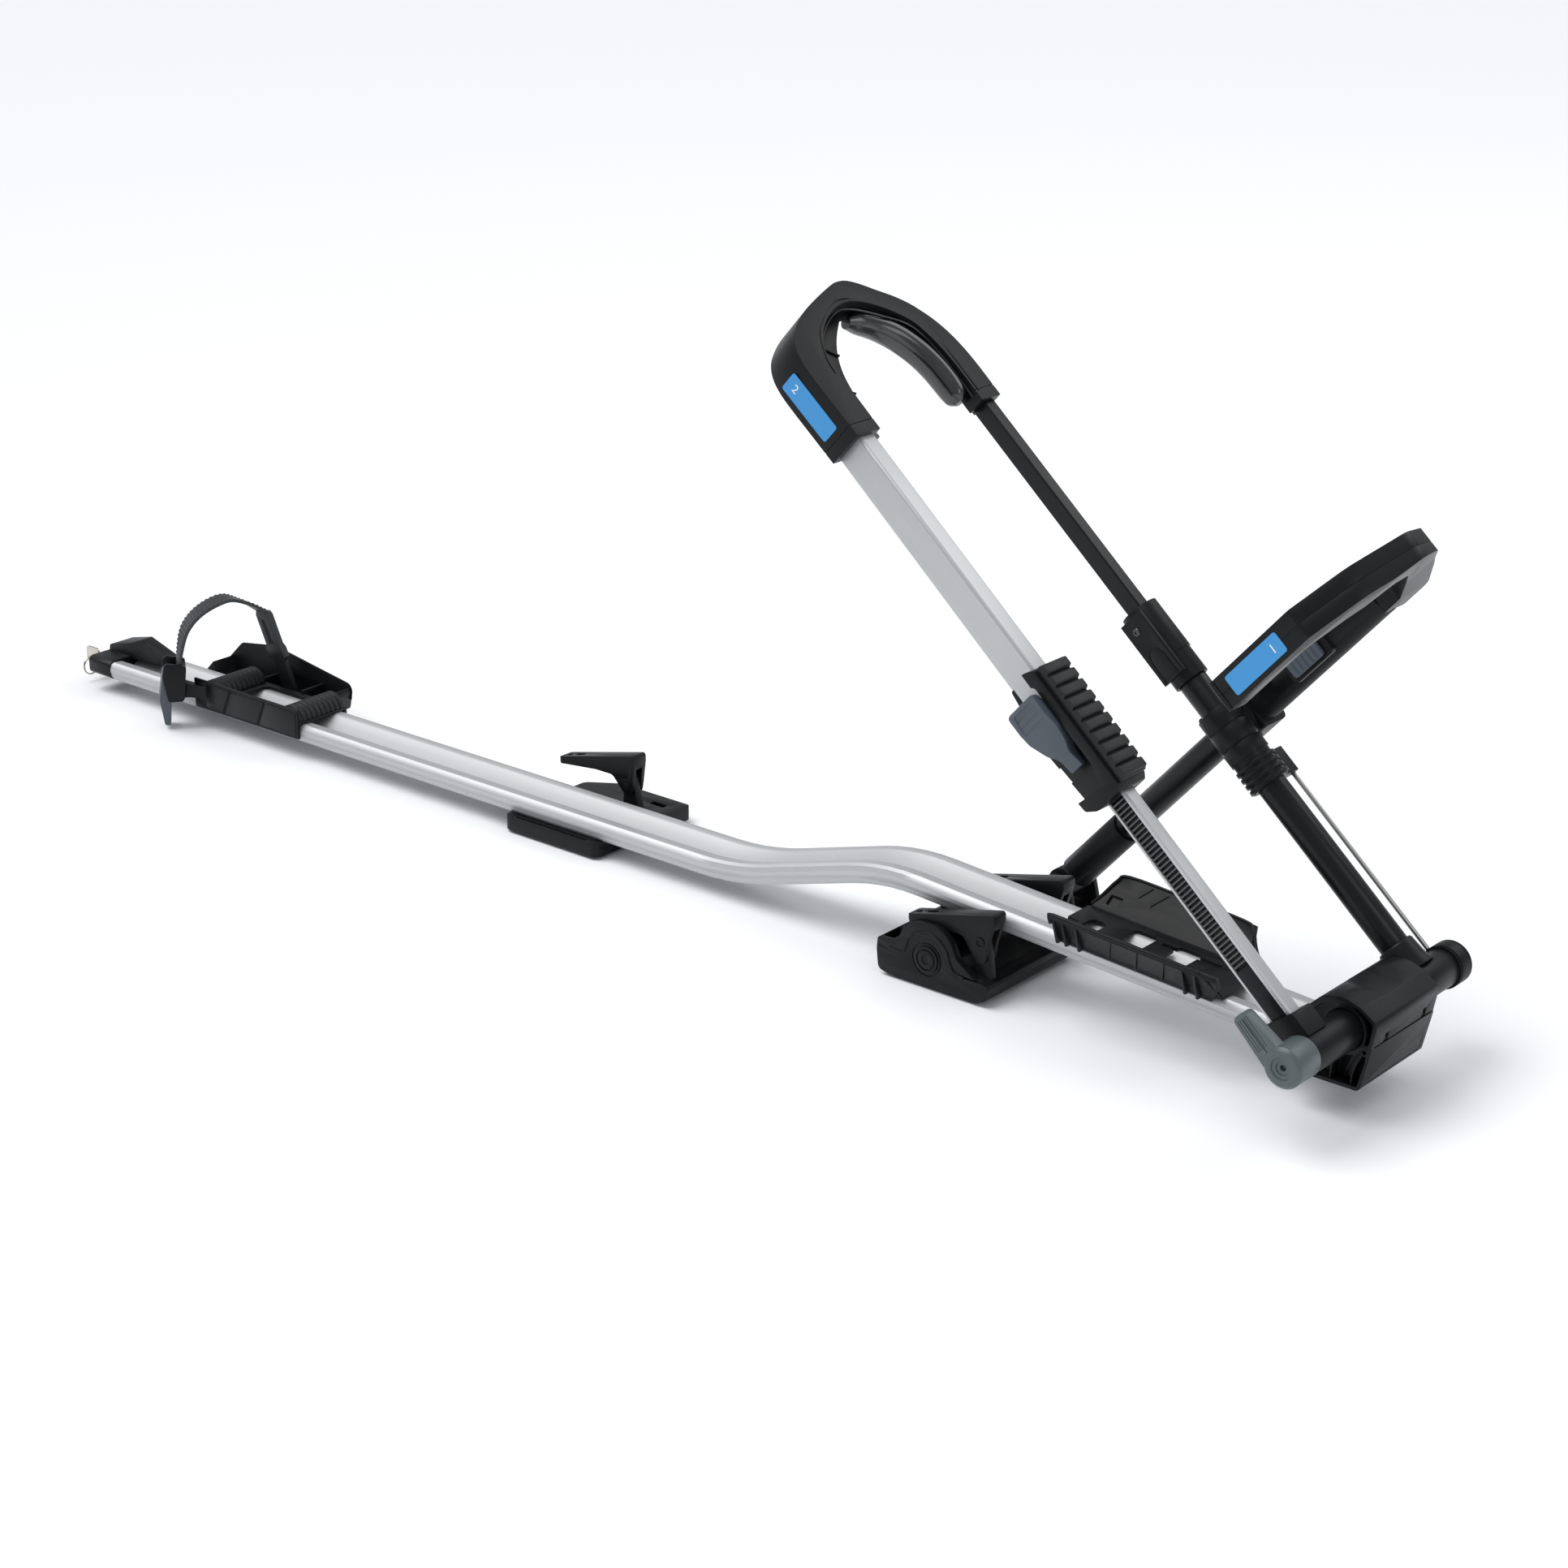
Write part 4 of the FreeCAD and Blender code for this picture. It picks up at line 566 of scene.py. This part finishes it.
# Fine recesses cut into copies of the CAD nodes.
carvings = {
    "hook_head": within(
        "arm",
        line(hookEdge, 0.35, (1, 0, 0)),
        strip("XZ", [(-10, 391), (30, 391), (30, 391.8), (-10, 391.8)], (-84, -81.3)),
        strip("YZ", [(-84, 391), (-50, 391), (-50, 391.8), (-84, 391.8)], (21.3, 25))),
    "release_lever": within(
        "hoop",
        strip("XZ", [(-26, 274), (-10, 274), (-9, 293, 8), (-15, 301, 10), (-20.6, 318, 12),
                     (-26, 320)], leverDepth),
        strip("XZ", [(20, 274), (4, 274), (4, 293, 8), (9, 301, 10), (13.6, 316, 12), (20, 318)],
              leverDepth),
        strip("XZ", [(-24, 350), (-11, 350), (-11, 345), (-20, 345, 9), (-20, 336), (-24, 336)],
              leverDepth),
        strip("XZ", [(18, 350), (5, 350), (5, 345), (13, 345, 8), (13, 337), (18, 337)], leverDepth),
        strip("XZ", [(-14.5, 341, 3), (8, 341, 3), (10, 326, 4), (7, 314, 5), (-12, 314, 5),
                     (-16.5, 326, 4)], (-129, -126.3))),
    "lock_knob": within(
        "hoop",
        strip("XZ", [(-9.6, 20), (-9.0, 20), (-8.2, 48), (-8.8, 48)], (-138, -136.4), row=(5, (2.5, 0, 0))),
        strip("XZ", hexagon(0, 0, 3), (-140, -133)),
        strip("XZ", [(-3.4, 16), (-2.6, 16), (-2.4, 47), (-3.2, 47)], (-138, -135.9))),
    "far_cap": within(
        "hoop",
        ringCut("Y", (0, 0, 0), 105.2, 106.4, 17.4, 20), ringCut("Y", (0, 0, 0), 118.4, 119.2, 17.8, 20)),
    "front_foot_plug": within(
        "flat",
        ringCut("Y", (-5, 0, 28), -66, -62.7, 8.4, 9.8),
        dict(kind="lathe", axis="Y", centre=(-5, 0, 28),
             profile=[(-66, 0.001), (-62.9, 0.001), (-62.9, 4.2), (-66, 4.2)])),
    "front_foot_base": within(
        "flat",
        *[line([(x, -60, z), (x, 68, z)], 0.4, (0, 0, 1))
          for x, z in ((57.6, 8.6), (58.2, 11.8), (58.8, 15))],
        ringCut("Y", (-5, 0, 28), -64, -61.4, 14.2, 15.4)),
    "front_foot_cover": within(
        "flat",
        line([(-57, -62.4, 27), (-34, -62.4, 26)], 0.4, (0, 1, 0)),
        strip("XZ", [(24, 24, 2), (54, 22.5, 2), (54, 21.5), (24, 21.5)], (-70, -58.5))),
    "near_clamp_lever": leverMarks(-29, -49.5, (40, 80)),
    "far_clamp_lever": leverMarks(-29, 50.5, (40, 80)),
    "rear_clamp_lever": leverMarks(-539, 58.5, (20, 80)),
    "front_tray": within(
        "tray",
        line([(-50, 58, 43.4), (-58, 48, 35.4)], 0.6, (0, 0, 1)),
        line([(-34, 57, 42.6), (-44, 45, 33.1)], 0.6, (0, 0, 1)),
        strip("XY", [(-82, 36, 1), (-70, 36, 1), (-70, 44, 1), (-82, 44, 1)], (15, 50)),
        strip("XZ", [(-90, 0), (90, 0), (90, 15.5), (-90, 15.5)], (-60, -30.1)),
        strip("XY", [(-40, -22, 3), (-17, -22, 3), (-17, 21, 4), (-40, 21, 4)], (18.9, 30)),
        strip("XY", [(3, -22, 3), (26, -22, 3), (26, 21, 4), (3, 21, 4)], (18.9, 30)),
        strip("XY", [(-78, -22, 3), (-62, -22, 3), (-62, 12, 6), (-78, 12, 6)], (18.9, 30)),
        line([(-22, 21, 22), (-22, 27.5, 22), (50, 27.5, 22)], 0.5, (0, 0, 1))),
    "housing_base": within(
        "axle",
        line([(23.8, -41, -14), (23.8, 41, -14), (18.1, 41, -43), (18.1, -41, -43)], 0.35, (1, 0, 0)),
        strip("XZ", [(23.2, -10.3), (30, -10.3), (30, -8), (23.2, -8)], (-44, 44)),
        strip("XZ", [(17.5, -11, 1), (22.4, -11, 1), (14.6, -45, 3), (-42, -45, 4), (-42, -12, 2),
                     (-17.6, -12, 2), (-14, -17.5, 6), (0, -21, 12), (13, -17.5, 6)], (-50, -35))),
    "housing_cover": within(
        "axle",
        strip("YZ", [(-30, -9.5), (-24, -9.5), (-24, -1.5, 1), (-30, -1.5, 1)], (24.2, 30)),
        strip("YZ", [(28, -9.5), (34, -9.5), (34, -1.5, 1), (28, -1.5, 1)], (24.2, 30)),
        strip("XZ", [(4, 23, 2), (13, 19, 10), (25, 10.5, 5), (22, -8, 2), (18, -8, 2), (17.6, 4, 8),
                     (12, 15, 8)], (-50, -36)),
        strip("XZ", [(-41, -4, 3), (-20, 18, 12), (-6, 21, 4), (-13, 14, 8), (-17.6, 3, 8), (-18, -8, 2),
                     (-41, -8, 2)], (-50, -36))),
    "wheel_holder": within(
        "holder",
        line([(-34, -33.4, 6), (-22, -33.4, 35)], 0.5, (0, 1, 0)),
        line([(18, -33.4, 6), (30, -33.4, 35)], 0.5, (0, 1, 0)),
        strip("XZ", [(-72, 31), (72, 31), (72, 32), (-72, 32)], (-34.5, -33))),
    "rear_roller": rollerGrooves(-56),
    "front_roller": rollerGrooves(62),
    "rail_end_cap": within(
        "flat", dict(kind="sweep", path=[(-1113, 12, 51.6), (-1084, 12, 43.2)], half=(2.4, 1.3), sides=14,
                     up=(0, 0, 1), steps=1)),
    "tube_collar": within(
        "hoop",
        line([(-8, 52.9, 300), (-8, 52.9, 334), (-5.4, 52.9, 341), (0, 52.9, 343.6), (5.4, 52.9, 341),
              (8, 52.9, 334), (8, 52.9, 300)], 0.45)),
}

# The hoop's head: rim, web and the tools that shape them.
headOuter = curve([(-113, 597), (-113.8, 625), (-114.6, 652), (-114, 670), (-110, 685), (-101, 698),
                   (-87, 708.5), (-70, 717.5), (-50, 725), (-30, 731.5), (-16, 735), (-2, 735), (12, 730),
                   (28, 721), (46, 711), (62, 698), (74, 680), (81, 659), (84, 634), (84, 597)])
headInner = curve([(58, 597), (58, 634), (55, 659), (47, 681), (34, 694), (18, 704), (2, 711), (-13, 714.5),
                   (-30, 714), (-47, 708), (-62, 699), (-74, 688), (-81, 675), (-83.5, 655), (-84, 597)])
headPlan = [(-18.5, -130), (18.5, -130), (18.5, -80, 30), (20, -20, 40), (12, 66, 30), (12, 95),
            (-12, 95), (-12, 66, 30), (-16, -20, 40), (-18.5, -80, 30)]
webNear = curve([(-69, 610), (-63.7, 638), (-58.5, 661), (-48.7, 680), (-35.4, 695.5), (-19, 709.5)])
webFar = curve([(-6, 709.5), (4, 707.5), (22, 697.5), (36.5, 685), (46.5, 666), (51.5, 648), (53, 630),
                (53, 606)])
webRim = curve([(66, 606), (66, 640), (60, 668), (48, 690), (30, 704), (10, 715), (-16, 722), (-40, 718),
                (-66, 708), (-84, 694), (-92, 672), (-92, 610)])
headTools = within(
    "hoop",
    dict(strip("XY", headPlan, (590, 745)), work="INTERSECT"),
    strip("YZ", curve([(69, 590), (69, 636), (63, 668), (51, 690), (33, 706), (10, 718), (-14, 723),
                       (-34, 720)]) + [(-30, 700), (30, 670), (30, 590)], (-30, -6)))
headSockets = within(
    "hoop",
    strip("XY", [(-16.6, -107.1, 3), (14.1, -107.1, 3), (14.1, -87.9, 3), (-16.6, -87.9, 3)], (590, 642)),
    strip("XY", [(-8.1, 64.8), (8.1, 64.8), (8.1, 78), (-8.1, 78)], (590, 642)),
    line([(18.6, -88, 655), (18.7, -85, 672), (19, -69, 698), (19.4, -36, 716), (19.8, -12, 716),
          (18.8, 22, 703), (15.5, 50, 686), (13, 61, 655), (12.2, 62, 606)], 0.8, (1, 0, 0), 5),
    strip("XZ", [(-30, 607.4), (30, 607.4), (30, 608.3), (-30, 608.3)], (-120, -112.7)),
    strip("YZ", [(-120, 607.4), (-80, 607.4), (-80, 608.3), (-120, 608.3)], (17.8, 25)),
    strip("YZ", [(50, 607.4), (95, 607.4), (95, 608.3), (50, 608.3)], (11.4, 25)))
padPath = [(-2, -9, 708), (-2, 3, 705), (-2, 20, 695.5), (-2, 34, 682), (-2, 44.5, 664),
           (-2, 49.5, 647), (-2, 51, 632), (-2, 51, 620), (-2, 50.4, 612), (-2, 50, 607)]
# What the pieces on one part share.
onHead = {"spot": "hoop", "finish": "plastic", "with": "hoop_head", "slot": "black_plastic"}
onTray = {"spot": "tray", "finish": "plastic", "with": "front_tray"}
onHousing = {"spot": "axle", "finish": "plastic", "with": "housing_base", "round": 0.3}
onHolder = {"spot": "holder", "finish": "tube", "with": "wheel_holder", "round": 0.25}
onRatchet = {"spot": "hoop", "with": "ratchet_strip", "slot": "black_plastic"}

# Pieces that the solids leave to the scene, each riding with a CAD node or standing for it.
details = {
    "headRim": {**onHead, **strip("YZ", headOuter + headInner, (-25, 25)), "carve": headTools,
                "standsFor": True, "round": 2.6, "segments": 4, "after": headSockets},
    "headWeb": {**onHead, **strip("YZ", webNear + webFar + webRim, (-1, 2.4)), "round": 0.5},
    "headFlank": {**onHead, **strip("XY", [(17.2, -95), (17.2, -92), (2.4, -70, 2), (-1, -69, 1),
                                           (-12, -70, 2), (-12, -95)], (598, 668)),
                  "carve": within("hoop", strip("XZ", [(-20, 672), (-3, 668), (6, 652), (25, 624),
                                                       (30, 690), (-20, 690)], (-100, -60))),
                  "round": 1.4},
    "tyrePad": {"kind": "sweep", "spot": "hoop", "path": padPath, "half": (10, 12.5), "sides": 28,
                "up": (1, 0, 0), "scales": [0.5, 0.86, 0.96, 1, 1, 1, 1, 0.96, 0.8, 0.35], "steps": 6,
                "finish": "gloss", "with": "hoop_pad", "slot": "gloss_pad", "standsFor": True, "round": 0},
    "headLip": {**onHead, "kind": "sweep", "half": (0.9, 0.9), "sides": 8, "up": (1, 0, 0), "steps": 5,
                "path": [(12, -82, 668), (12.5, -65.5, 692.5), (13, -34.5, 710.5), (13, -12, 710.5),
                         (12, 19, 697), (9.5, 46.5, 681), (8, 56, 650), (7, 57, 604)],
                "finish": "gloss", "round": 0},
    "webRibNear": {**onHead, **line([(3.2, -62.5, 640), (3.2, -82, 651)], 0.9, (1, 0, 0)), "round": 0.3},
    "webRibTop": {**onHead, **line([(3.2, -50, 677), (3.2, -64, 690)], 0.9, (1, 0, 0)), "round": 0.3},
    "webRibFar": {**onHead, **line([(3.2, 12, 700), (3.2, 30, 684)], 0.9, (1, 0, 0)), "round": 0.3},
    "hoopLabel": {**strip("XZ", [(-12, 614, 2.2), (7, 614, 2.2), (7, 672, 2.2), (-12, 672, 2.2)],
                          (-113.35, -112.95), lean=(-0.0316, 597)), "spot": "hoop",
                  "finish": "label", "with": "hoop_head", "round": 0},
    "hoopFigure": {"kind": "digit", "spot": "hoop", "figure": "2", "height": 11, "turn": -90,
                   "centre": (-2.5, -115.5, 662), "finish": "ink", "with": "hoop_head", "round": 0},
    "hookLabel": {**strip("XZ", [(0.5, 402, 2.2), (18, 402, 2.2), (18, 463, 2.2), (0.5, 463, 2.2)],
                          (-82.35, -81.9)), "spot": "arm",
                  "finish": "label", "with": "hook_head", "round": 0},
    "hookFigure": {"kind": "digit", "spot": "arm", "figure": "1", "height": 11, "turn": -90,
                   "centre": (9.2, -82.4, 453), "finish": "ink", "with": "hook_head", "round": 0},
    "trayBead": {**onTray, "kind": "sweep", "half": (1.8, 1.8), "sides": 12, "up": (0, 0, 1), "steps": 5,
                 "path": [(-82, -45.5, 36), (-82.4, -47.6, 42), (-79, -48, 44.2), (-40, -48, 44.4),
                          (20, -48, 44.4), (60, -48, 44.2), (69, -46, 40), (74, -39, 31), (77.5, -33, 24)],
                 "round": 0},
    "wingBead": {**onTray, "kind": "sweep", "half": (1.4, 1.4), "sides": 10, "up": (0, 0, 1), "steps": 4,
                 "path": [(-94, 33, 23), (-89, 42, 31), (-84, 54, 41), (-76, 60, 45), (-20, 60.6, 45.2),
                          (38, 60.4, 45), (50, 56, 42), (60, 46, 33), (75, 34, 22.5)],
                 "round": 0},
    "wingBlock": {**onTray, **strip("XY", [(-84, 33), (-68, 33), (-68, 47), (-84, 47)], (17.5, 19.5),
                                    lean=(0.79, 31)), "round": 0.3},
    "trayFold": {**onTray, **line([(-30, -33.4, 18), (-22, -46.4, 41.5)], 0.6, (1, 0, 0),
                                  row=(3, (26, 0, 0))), "round": 0.2},
    "footRidge": {"kind": "sweep", "spot": "flat", "half": (1.2, 1.3), "sides": 10, "up": (0, 1, 0),
                  "steps": 4,
                  "path": [(-46, -62.4, 27.2), (-34, -62.4, 26.5), (-28.6, -62.4, 31), (-25.5, -62.4, 41),
                           (-16.5, -62.4, 49.6), (-5, -62.4, 52.3), (6.5, -62.4, 49.6), (15.5, -62.4, 41),
                           (18.6, -62.4, 31), (24, -62.4, 23.6), (34, -62.4, 21.4)],
                  "finish": "plastic", "with": "front_foot_cover", "round": 0},
    "nearPinBoss": {**ringCut("Y", (44, 0, 54.5), -55.3, -54.2, 3.1, 4.9), "spot": "flat",
                    "finish": "plastic", "with": "near_clamp_lever", "round": 0.25},
    "sleeveRibs": {**ringCut("Z", (0, 71.4, 0), 199, 202.4, 15.5, 18.7, row=(4, (0, 0, 6))),
                   "spot": "hoop", "finish": "plastic", "with": "link_sleeve", "round": 0.3},
    "tubeNeck": {"kind": "lathe", "axis": "Z", "centre": (0, 71.4, 0), "spot": "hoop", "steps": 64,
                 "profile": [(9, 12.4), (9, 19.5), (14, 17.6), (20, 16.8), (33, 15.8), (34.6, 14.6),
                             (34.6, 12.4)],
                 "finish": "plastic", "with": "far_tube", "slot": "black_plastic", "round": 0.6},
    "housingBoss": {**onHousing, **ringCut("Y", (18.4, 0, -14.5), -47, -35, 1.7, 3.6, steps=24)},
    "housingRib": {**onHousing,
                   **strip("XZ", curve([(16.9, -18), (12.5, -27), (9.6, -36), (9, -45)])
                           + curve([(7.8, -45), (8.4, -36), (11.3, -26.4), (15.6, -18)]), (-46.5, -35))},
    "housingWeb": {**onHousing,
                   **strip("XZ", [(-9, -21), (-7.6, -21), (-9.6, -45), (-11, -45)], (-46.5, -35))},
    "housingLip": {**ringCut("Y", (0, 0, 0), -47.6, -35, 17.5, 19.3), "spot": "axle", "finish": "plastic",
                   "with": "housing_cover", "round": 0.5},
    "collarScrew": {"kind": "lathe", "axis": "Y", "centre": (-2, 0, 362), "spot": "hoop", "steps": 32,
                    "profile": [(53.5, 0.001), (53.5, 3.6), (52.3, 3.6), (51.6, 2.6), (51.6, 0.001)],
                    "carve": within("hoop", strip("XZ", hexagon(-2, 362, 1.5), (50, 52.8))),
                    "finish": "gloss", "with": "tube_collar", "slot": "black_plastic", "round": 0.15},
    "ratchetBase": {**onRatchet,
                    **strip("YZ", [(-104.6, 17), (-104.6, 80), (-102.2, 81), (-102.2, 426),
                                   (-100.6, 426), (-100.6, 17)], (-6.9, 7.9)),
                    "finish": "plastic", "standsFor": True, "round": 0.2},
    "ratchetTeeth": {**onRatchet, "kind": "sweep", "path": [(-6.8, -103.2, 84), (7.8, -103.2, 84)],
                     "half": (1.2, 1.35), "sides": 10, "up": (0, 1, 0), "steps": 1,
                     "row": (86, (0, 0, 4)), "finish": "gloss", "round": 0},
    "holderPlates": {**onHolder,
                     **strip("XZ", [(-60, 8), (-35.5, 8), (-24, 33), (-60, 33)], (-33.9, -33.2))},
    "holderPlateMid": {**onHolder,
                       **strip("XZ", [(-31.5, 8), (16.5, 8), (28, 33), (-20, 33)], (-33.9, -33.2))},
    "holderPlateEnd": {**onHolder,
                       **strip("XZ", [(20.5, 8), (75, 8), (75, 33), (32, 33)], (-33.9, -33.2))},
    "strapBand": {"kind": "sweep", "spot": "strap", "half": (1.4, 10.8), "sides": 4, "steps": 11,
                  "tooth": 1.1,
                  "path": [(0, 36, 101), (0, 16, 112.5), (0, -4, 117), (0, -28, 106), (0, -44, 88),
                           (0, -51, 64), (0, -54, 41)],
                  "ups": [(0.79, 0.61, 0), (0.85, 0.5, 0), (0.9, 0.42, 0), (0.95, 0.32, 0), (1, 0.24, 0),
                          (1, 0.12, 0), (1, 0, 0)],
                  "finish": "strap", "with": "ladder_strap", "slot": "strap_plastic", "standsFor": True,
                  "round": 0},
    "strapTongue": {"kind": "sweep", "spot": "strap", "half": (3.4, 11.5), "sides": 4, "steps": 1,
                    "up": (0.79, 0.61, 0), "scales": [0.8, 0.8, 1.12, 1.12, 0.95, 0.95, 0.8],
                    "path": [(0, 61.2, 10), (0, 50.6, 48), (0, 49.5, 52), (0, 46.6, 62), (0, 45.5, 66),
                             (0, 36.6, 98), (0, 35.4, 102.5)],
                    "carve": within("strap", dict(kind="sweep", path=[(0, 45.2, 67), (0, 37.9, 93)],
                                                  sides=4, half=(8, 3), up=(0.79, 0.61, 0), steps=1)),
                    "finish": "strap", "with": "strap_holder", "slot": "soft_rubber", "standsFor": True,
                    "round": 1.1},
    "basketLip": {"kind": "sweep", "spot": "holder", "half": (2.0, 1.1), "sides": 10, "up": (0, 1, 0),
                  "steps": 1,
                  "path": [(a, 60.4, b) for a, b in cornered([(-143, 9), (-109, 41.6, 10), (-57, 49.6, 40),
                                                              (56.5, 32.2, 8), (54.5, 18)])],
                  "finish": "plastic", "with": "wheel_holder", "round": 0},
}


# A copy of a CAD node, carved where it has fine recesses, with small rounds on its edges.
def eased(node, finish, width):
    source = frame["nodes"][node]
    mesh = source.data.copy()
    mesh.materials.clear()
    clearFaces(mesh)
    piece = bpy.data.objects.new(node + "Eased", mesh)
    bpy.context.scene.collection.objects.link(piece)
    if node in carvings:
        carved(piece, carvings[node])
        clearFaces(piece.data)
    finished(piece, finish, width)
    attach(piece, source["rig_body"])
    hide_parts(node)
    return piece


# Finish, paint slot and edge round in millimetres of each copied node.
easing = {
    "rail": ("rail", "rail_aluminium", 0),
    "rail_end_cap": ("plastic", "black_plastic", 1),
    "front_foot_base": ("plastic", "black_plastic", 2),
    "front_foot_cover": ("plastic", "black_plastic", 1.6),
    "front_foot_plug": ("plastic", "black_plastic", 0.8),
    "front_foot_pad": ("rubber", "soft_rubber", 0.5),
    "front_tray": ("plastic", "black_plastic", 0.6),
    "housing_base": ("plastic", "black_plastic", 0.7),
    "housing_cover": ("plastic", "black_plastic", 0.9),
    "axle": ("steel", "steel", 0.5),
    "rear_foot": ("plastic", "black_plastic", 0.9),
    "rear_foot_pad": ("rubber", "soft_rubber", 0.5),
    "arm_bracket": ("plastic", "black_plastic", 0.9),
    "arm_pin": ("steel", "steel", 0.4),
    "lever_pins": ("plastic", "steel", 0.3),
    "near_hub": ("plastic", "black_plastic", 0.8),
    "far_hub": ("plastic", "black_plastic", 0.8),
    "far_cap": ("plastic", "black_plastic", 0.6),
    "ratchet_profile": ("arm", "arm_aluminium", 0.4),
    "far_tube": ("tube", "black_tube", 0.3),
    "link_sleeve": ("plastic", "black_plastic", 0.4),
    "guide_rod": ("steel", "steel", 0.3),
    "tube_collar": ("plastic", "black_plastic", 1),
    "outer_arm": ("arm", "arm_aluminium", 0.4),
    "slide_rod": ("tube", "black_tube", 0.5),
    "grip_body": ("plastic", "black_plastic", 0.9),
    "grip_rubber": ("rubber", "soft_rubber", 1.2),
    "release_lever": ("lever", "grey_lever", 0.9),
    "lock_knob": ("knob", "grey_knob", 0.9),
    "arm_socket": ("plastic", "black_plastic", 0.8),
    "arm_tube": ("tube", "black_tube", 0.4),
    "cross_collar": ("plastic", "black_plastic", 0.9),
    "arm_button": ("lever", "grey_lever", 0.6),
    "hook_head": ("plastic", "black_plastic", 3),
    "hook_rod": ("tube", "black_tube", 0.4),
    "near_clamp_lever": ("plastic", "black_plastic", 0.9),
    "far_clamp_lever": ("plastic", "black_plastic", 0.9),
    "rear_clamp_lever": ("plastic", "black_plastic", 0.9),
    "wheel_holder": ("plastic", "black_plastic", 0.8),
    "rear_roller": ("rubber", "soft_rubber", 0.9),
    "front_roller": ("rubber", "soft_rubber", 0.9),
    "buckle": ("plastic", "black_plastic", 0.7),
    "buckle_lever": ("lever", "grey_lever", 1),
    "lock_cylinder": ("chrome", "chrome", 0.4),
    "key": ("chrome", "chrome", 0.3),
    "key_ring": ("chrome", "chrome", 0.2),
    "spare_key": ("chrome", "chrome", 0.3),
}
for node, (finish, slot, width) in easing.items():
    eased(node, finish, width)
print("stage: eased", len(easing), "nodes")

for name, values in details.items():
    detail(name, values)
print("stage: details", len(details))


# Floor, light and camera.
studio = {"floor": srgb(247, 248, 250), "size": 40.0, "dull": 0.9, "gleam": 0.1,
          "sky": (0.95, 0.97, 1.0), "skyLow": 0.44, "skyHigh": 0.56,
          "sun": {"power": 1.74, "turn": (30, 0, -55), "spread": 45}}
softBoxes = {
    "keyBox": {"place": (1.1, 2.3, 2.7), "aim": (-0.2, 0.0, 0.1), "size": (2.6, 1.6), "power": 22},
    "sideBox": {"place": (2.6, -0.4, 1.5), "aim": (0.1, 0.0, 0.2), "size": (1.0, 1.6), "power": 9},
    "topBox": {"place": (-0.6, -0.7, 2.9), "aim": (-0.3, 0.0, 0.0), "size": (3.0, 1.4), "power": 9}}


# Sky that is brighter overhead than at the horizon.
def skyLight():
    world = bpy.data.worlds.new("studioSky")
    world.use_nodes = True
    tree = world.node_tree
    glow = tree.nodes["Background"]
    glow.inputs["Color"].default_value = (*studio["sky"], 1)
    ray = tree.nodes.new("ShaderNodeTexCoord")
    split = tree.nodes.new("ShaderNodeSeparateXYZ")
    tree.links.new(ray.outputs["Generated"], split.inputs[0])
    height = tree.nodes.new("ShaderNodeMapRange")
    for slot, value in enumerate((0.0, 1.0, studio["skyLow"], studio["skyHigh"]), start=1):
        height.inputs[slot].default_value = value
    tree.links.new(split.outputs["Z"], height.inputs[0])
    tree.links.new(height.outputs[0], glow.inputs["Strength"])
    bpy.context.scene.world = world


def softBox(name, values):
    lamp = bpy.data.lights.new(name, "AREA")
    lamp.shape = "RECTANGLE"
    lamp.size, lamp.size_y = values["size"]
    lamp.energy = values["power"]
    box = bpy.data.objects.new(name, lamp)
    place = Vector(values["place"])
    turn = (Vector(values["aim"]) - place).to_track_quat("-Z", "Y").to_matrix().to_4x4()
    box.matrix_world = Matrix.Translation(place) @ turn
    bpy.context.scene.collection.objects.link(box)


def buildStudio():
    made = bmesh.new()
    bmesh.ops.create_grid(made, x_segments=1, y_segments=1, size=studio["size"])
    mesh = bpy.data.meshes.new("studioFloor")
    made.to_mesh(mesh)
    made.free()
    floor = bpy.data.objects.new("studioFloor", mesh)
    bpy.context.scene.collection.objects.link(floor)
    paint = Finish("floorPaper", studio["floor"], Roughness=studio["dull"])
    paint.put("Specular IOR Level", studio["gleam"])
    mesh.materials.append(paint.material)
    skyLight()
    lamp = bpy.data.lights.new("sun", "SUN")
    lamp.energy = studio["sun"]["power"]
    lamp.angle = math.radians(studio["sun"]["spread"])
    sun = bpy.data.objects.new("sun", lamp)
    sun.rotation_euler = [math.radians(v) for v in studio["sun"]["turn"]]
    bpy.context.scene.collection.objects.link(sun)
    for name, values in softBoxes.items():
        softBox(name, values)


view = {"place": (1.5012, -2.0645, 1.1490), "target": (-0.215, 0.0, 0.1164), "roll": 0.28,
        "lens": 74.24, "sensor": 36, "farLimit": 60}


def buildCamera():
    lens = bpy.data.cameras.new("viewCamera")
    lens.sensor_width = view["sensor"]
    lens.lens = view["lens"]
    lens.clip_end = view["farLimit"]
    camera = bpy.data.objects.new("viewCamera", lens)
    place, target = Vector(view["place"]), Vector(view["target"])
    aim = (target - place).to_track_quat("-Z", "Y").to_matrix().to_4x4()
    roll = Matrix.Rotation(math.radians(view["roll"]), 4, "Z")
    camera.matrix_world = Matrix.Translation(place) @ aim @ roll
    bpy.context.scene.collection.objects.link(camera)
    bpy.context.scene.camera = camera


buildStudio()
buildCamera()
bpy.context.scene.view_settings.view_transform = "Standard"
print("stage: studio and camera")
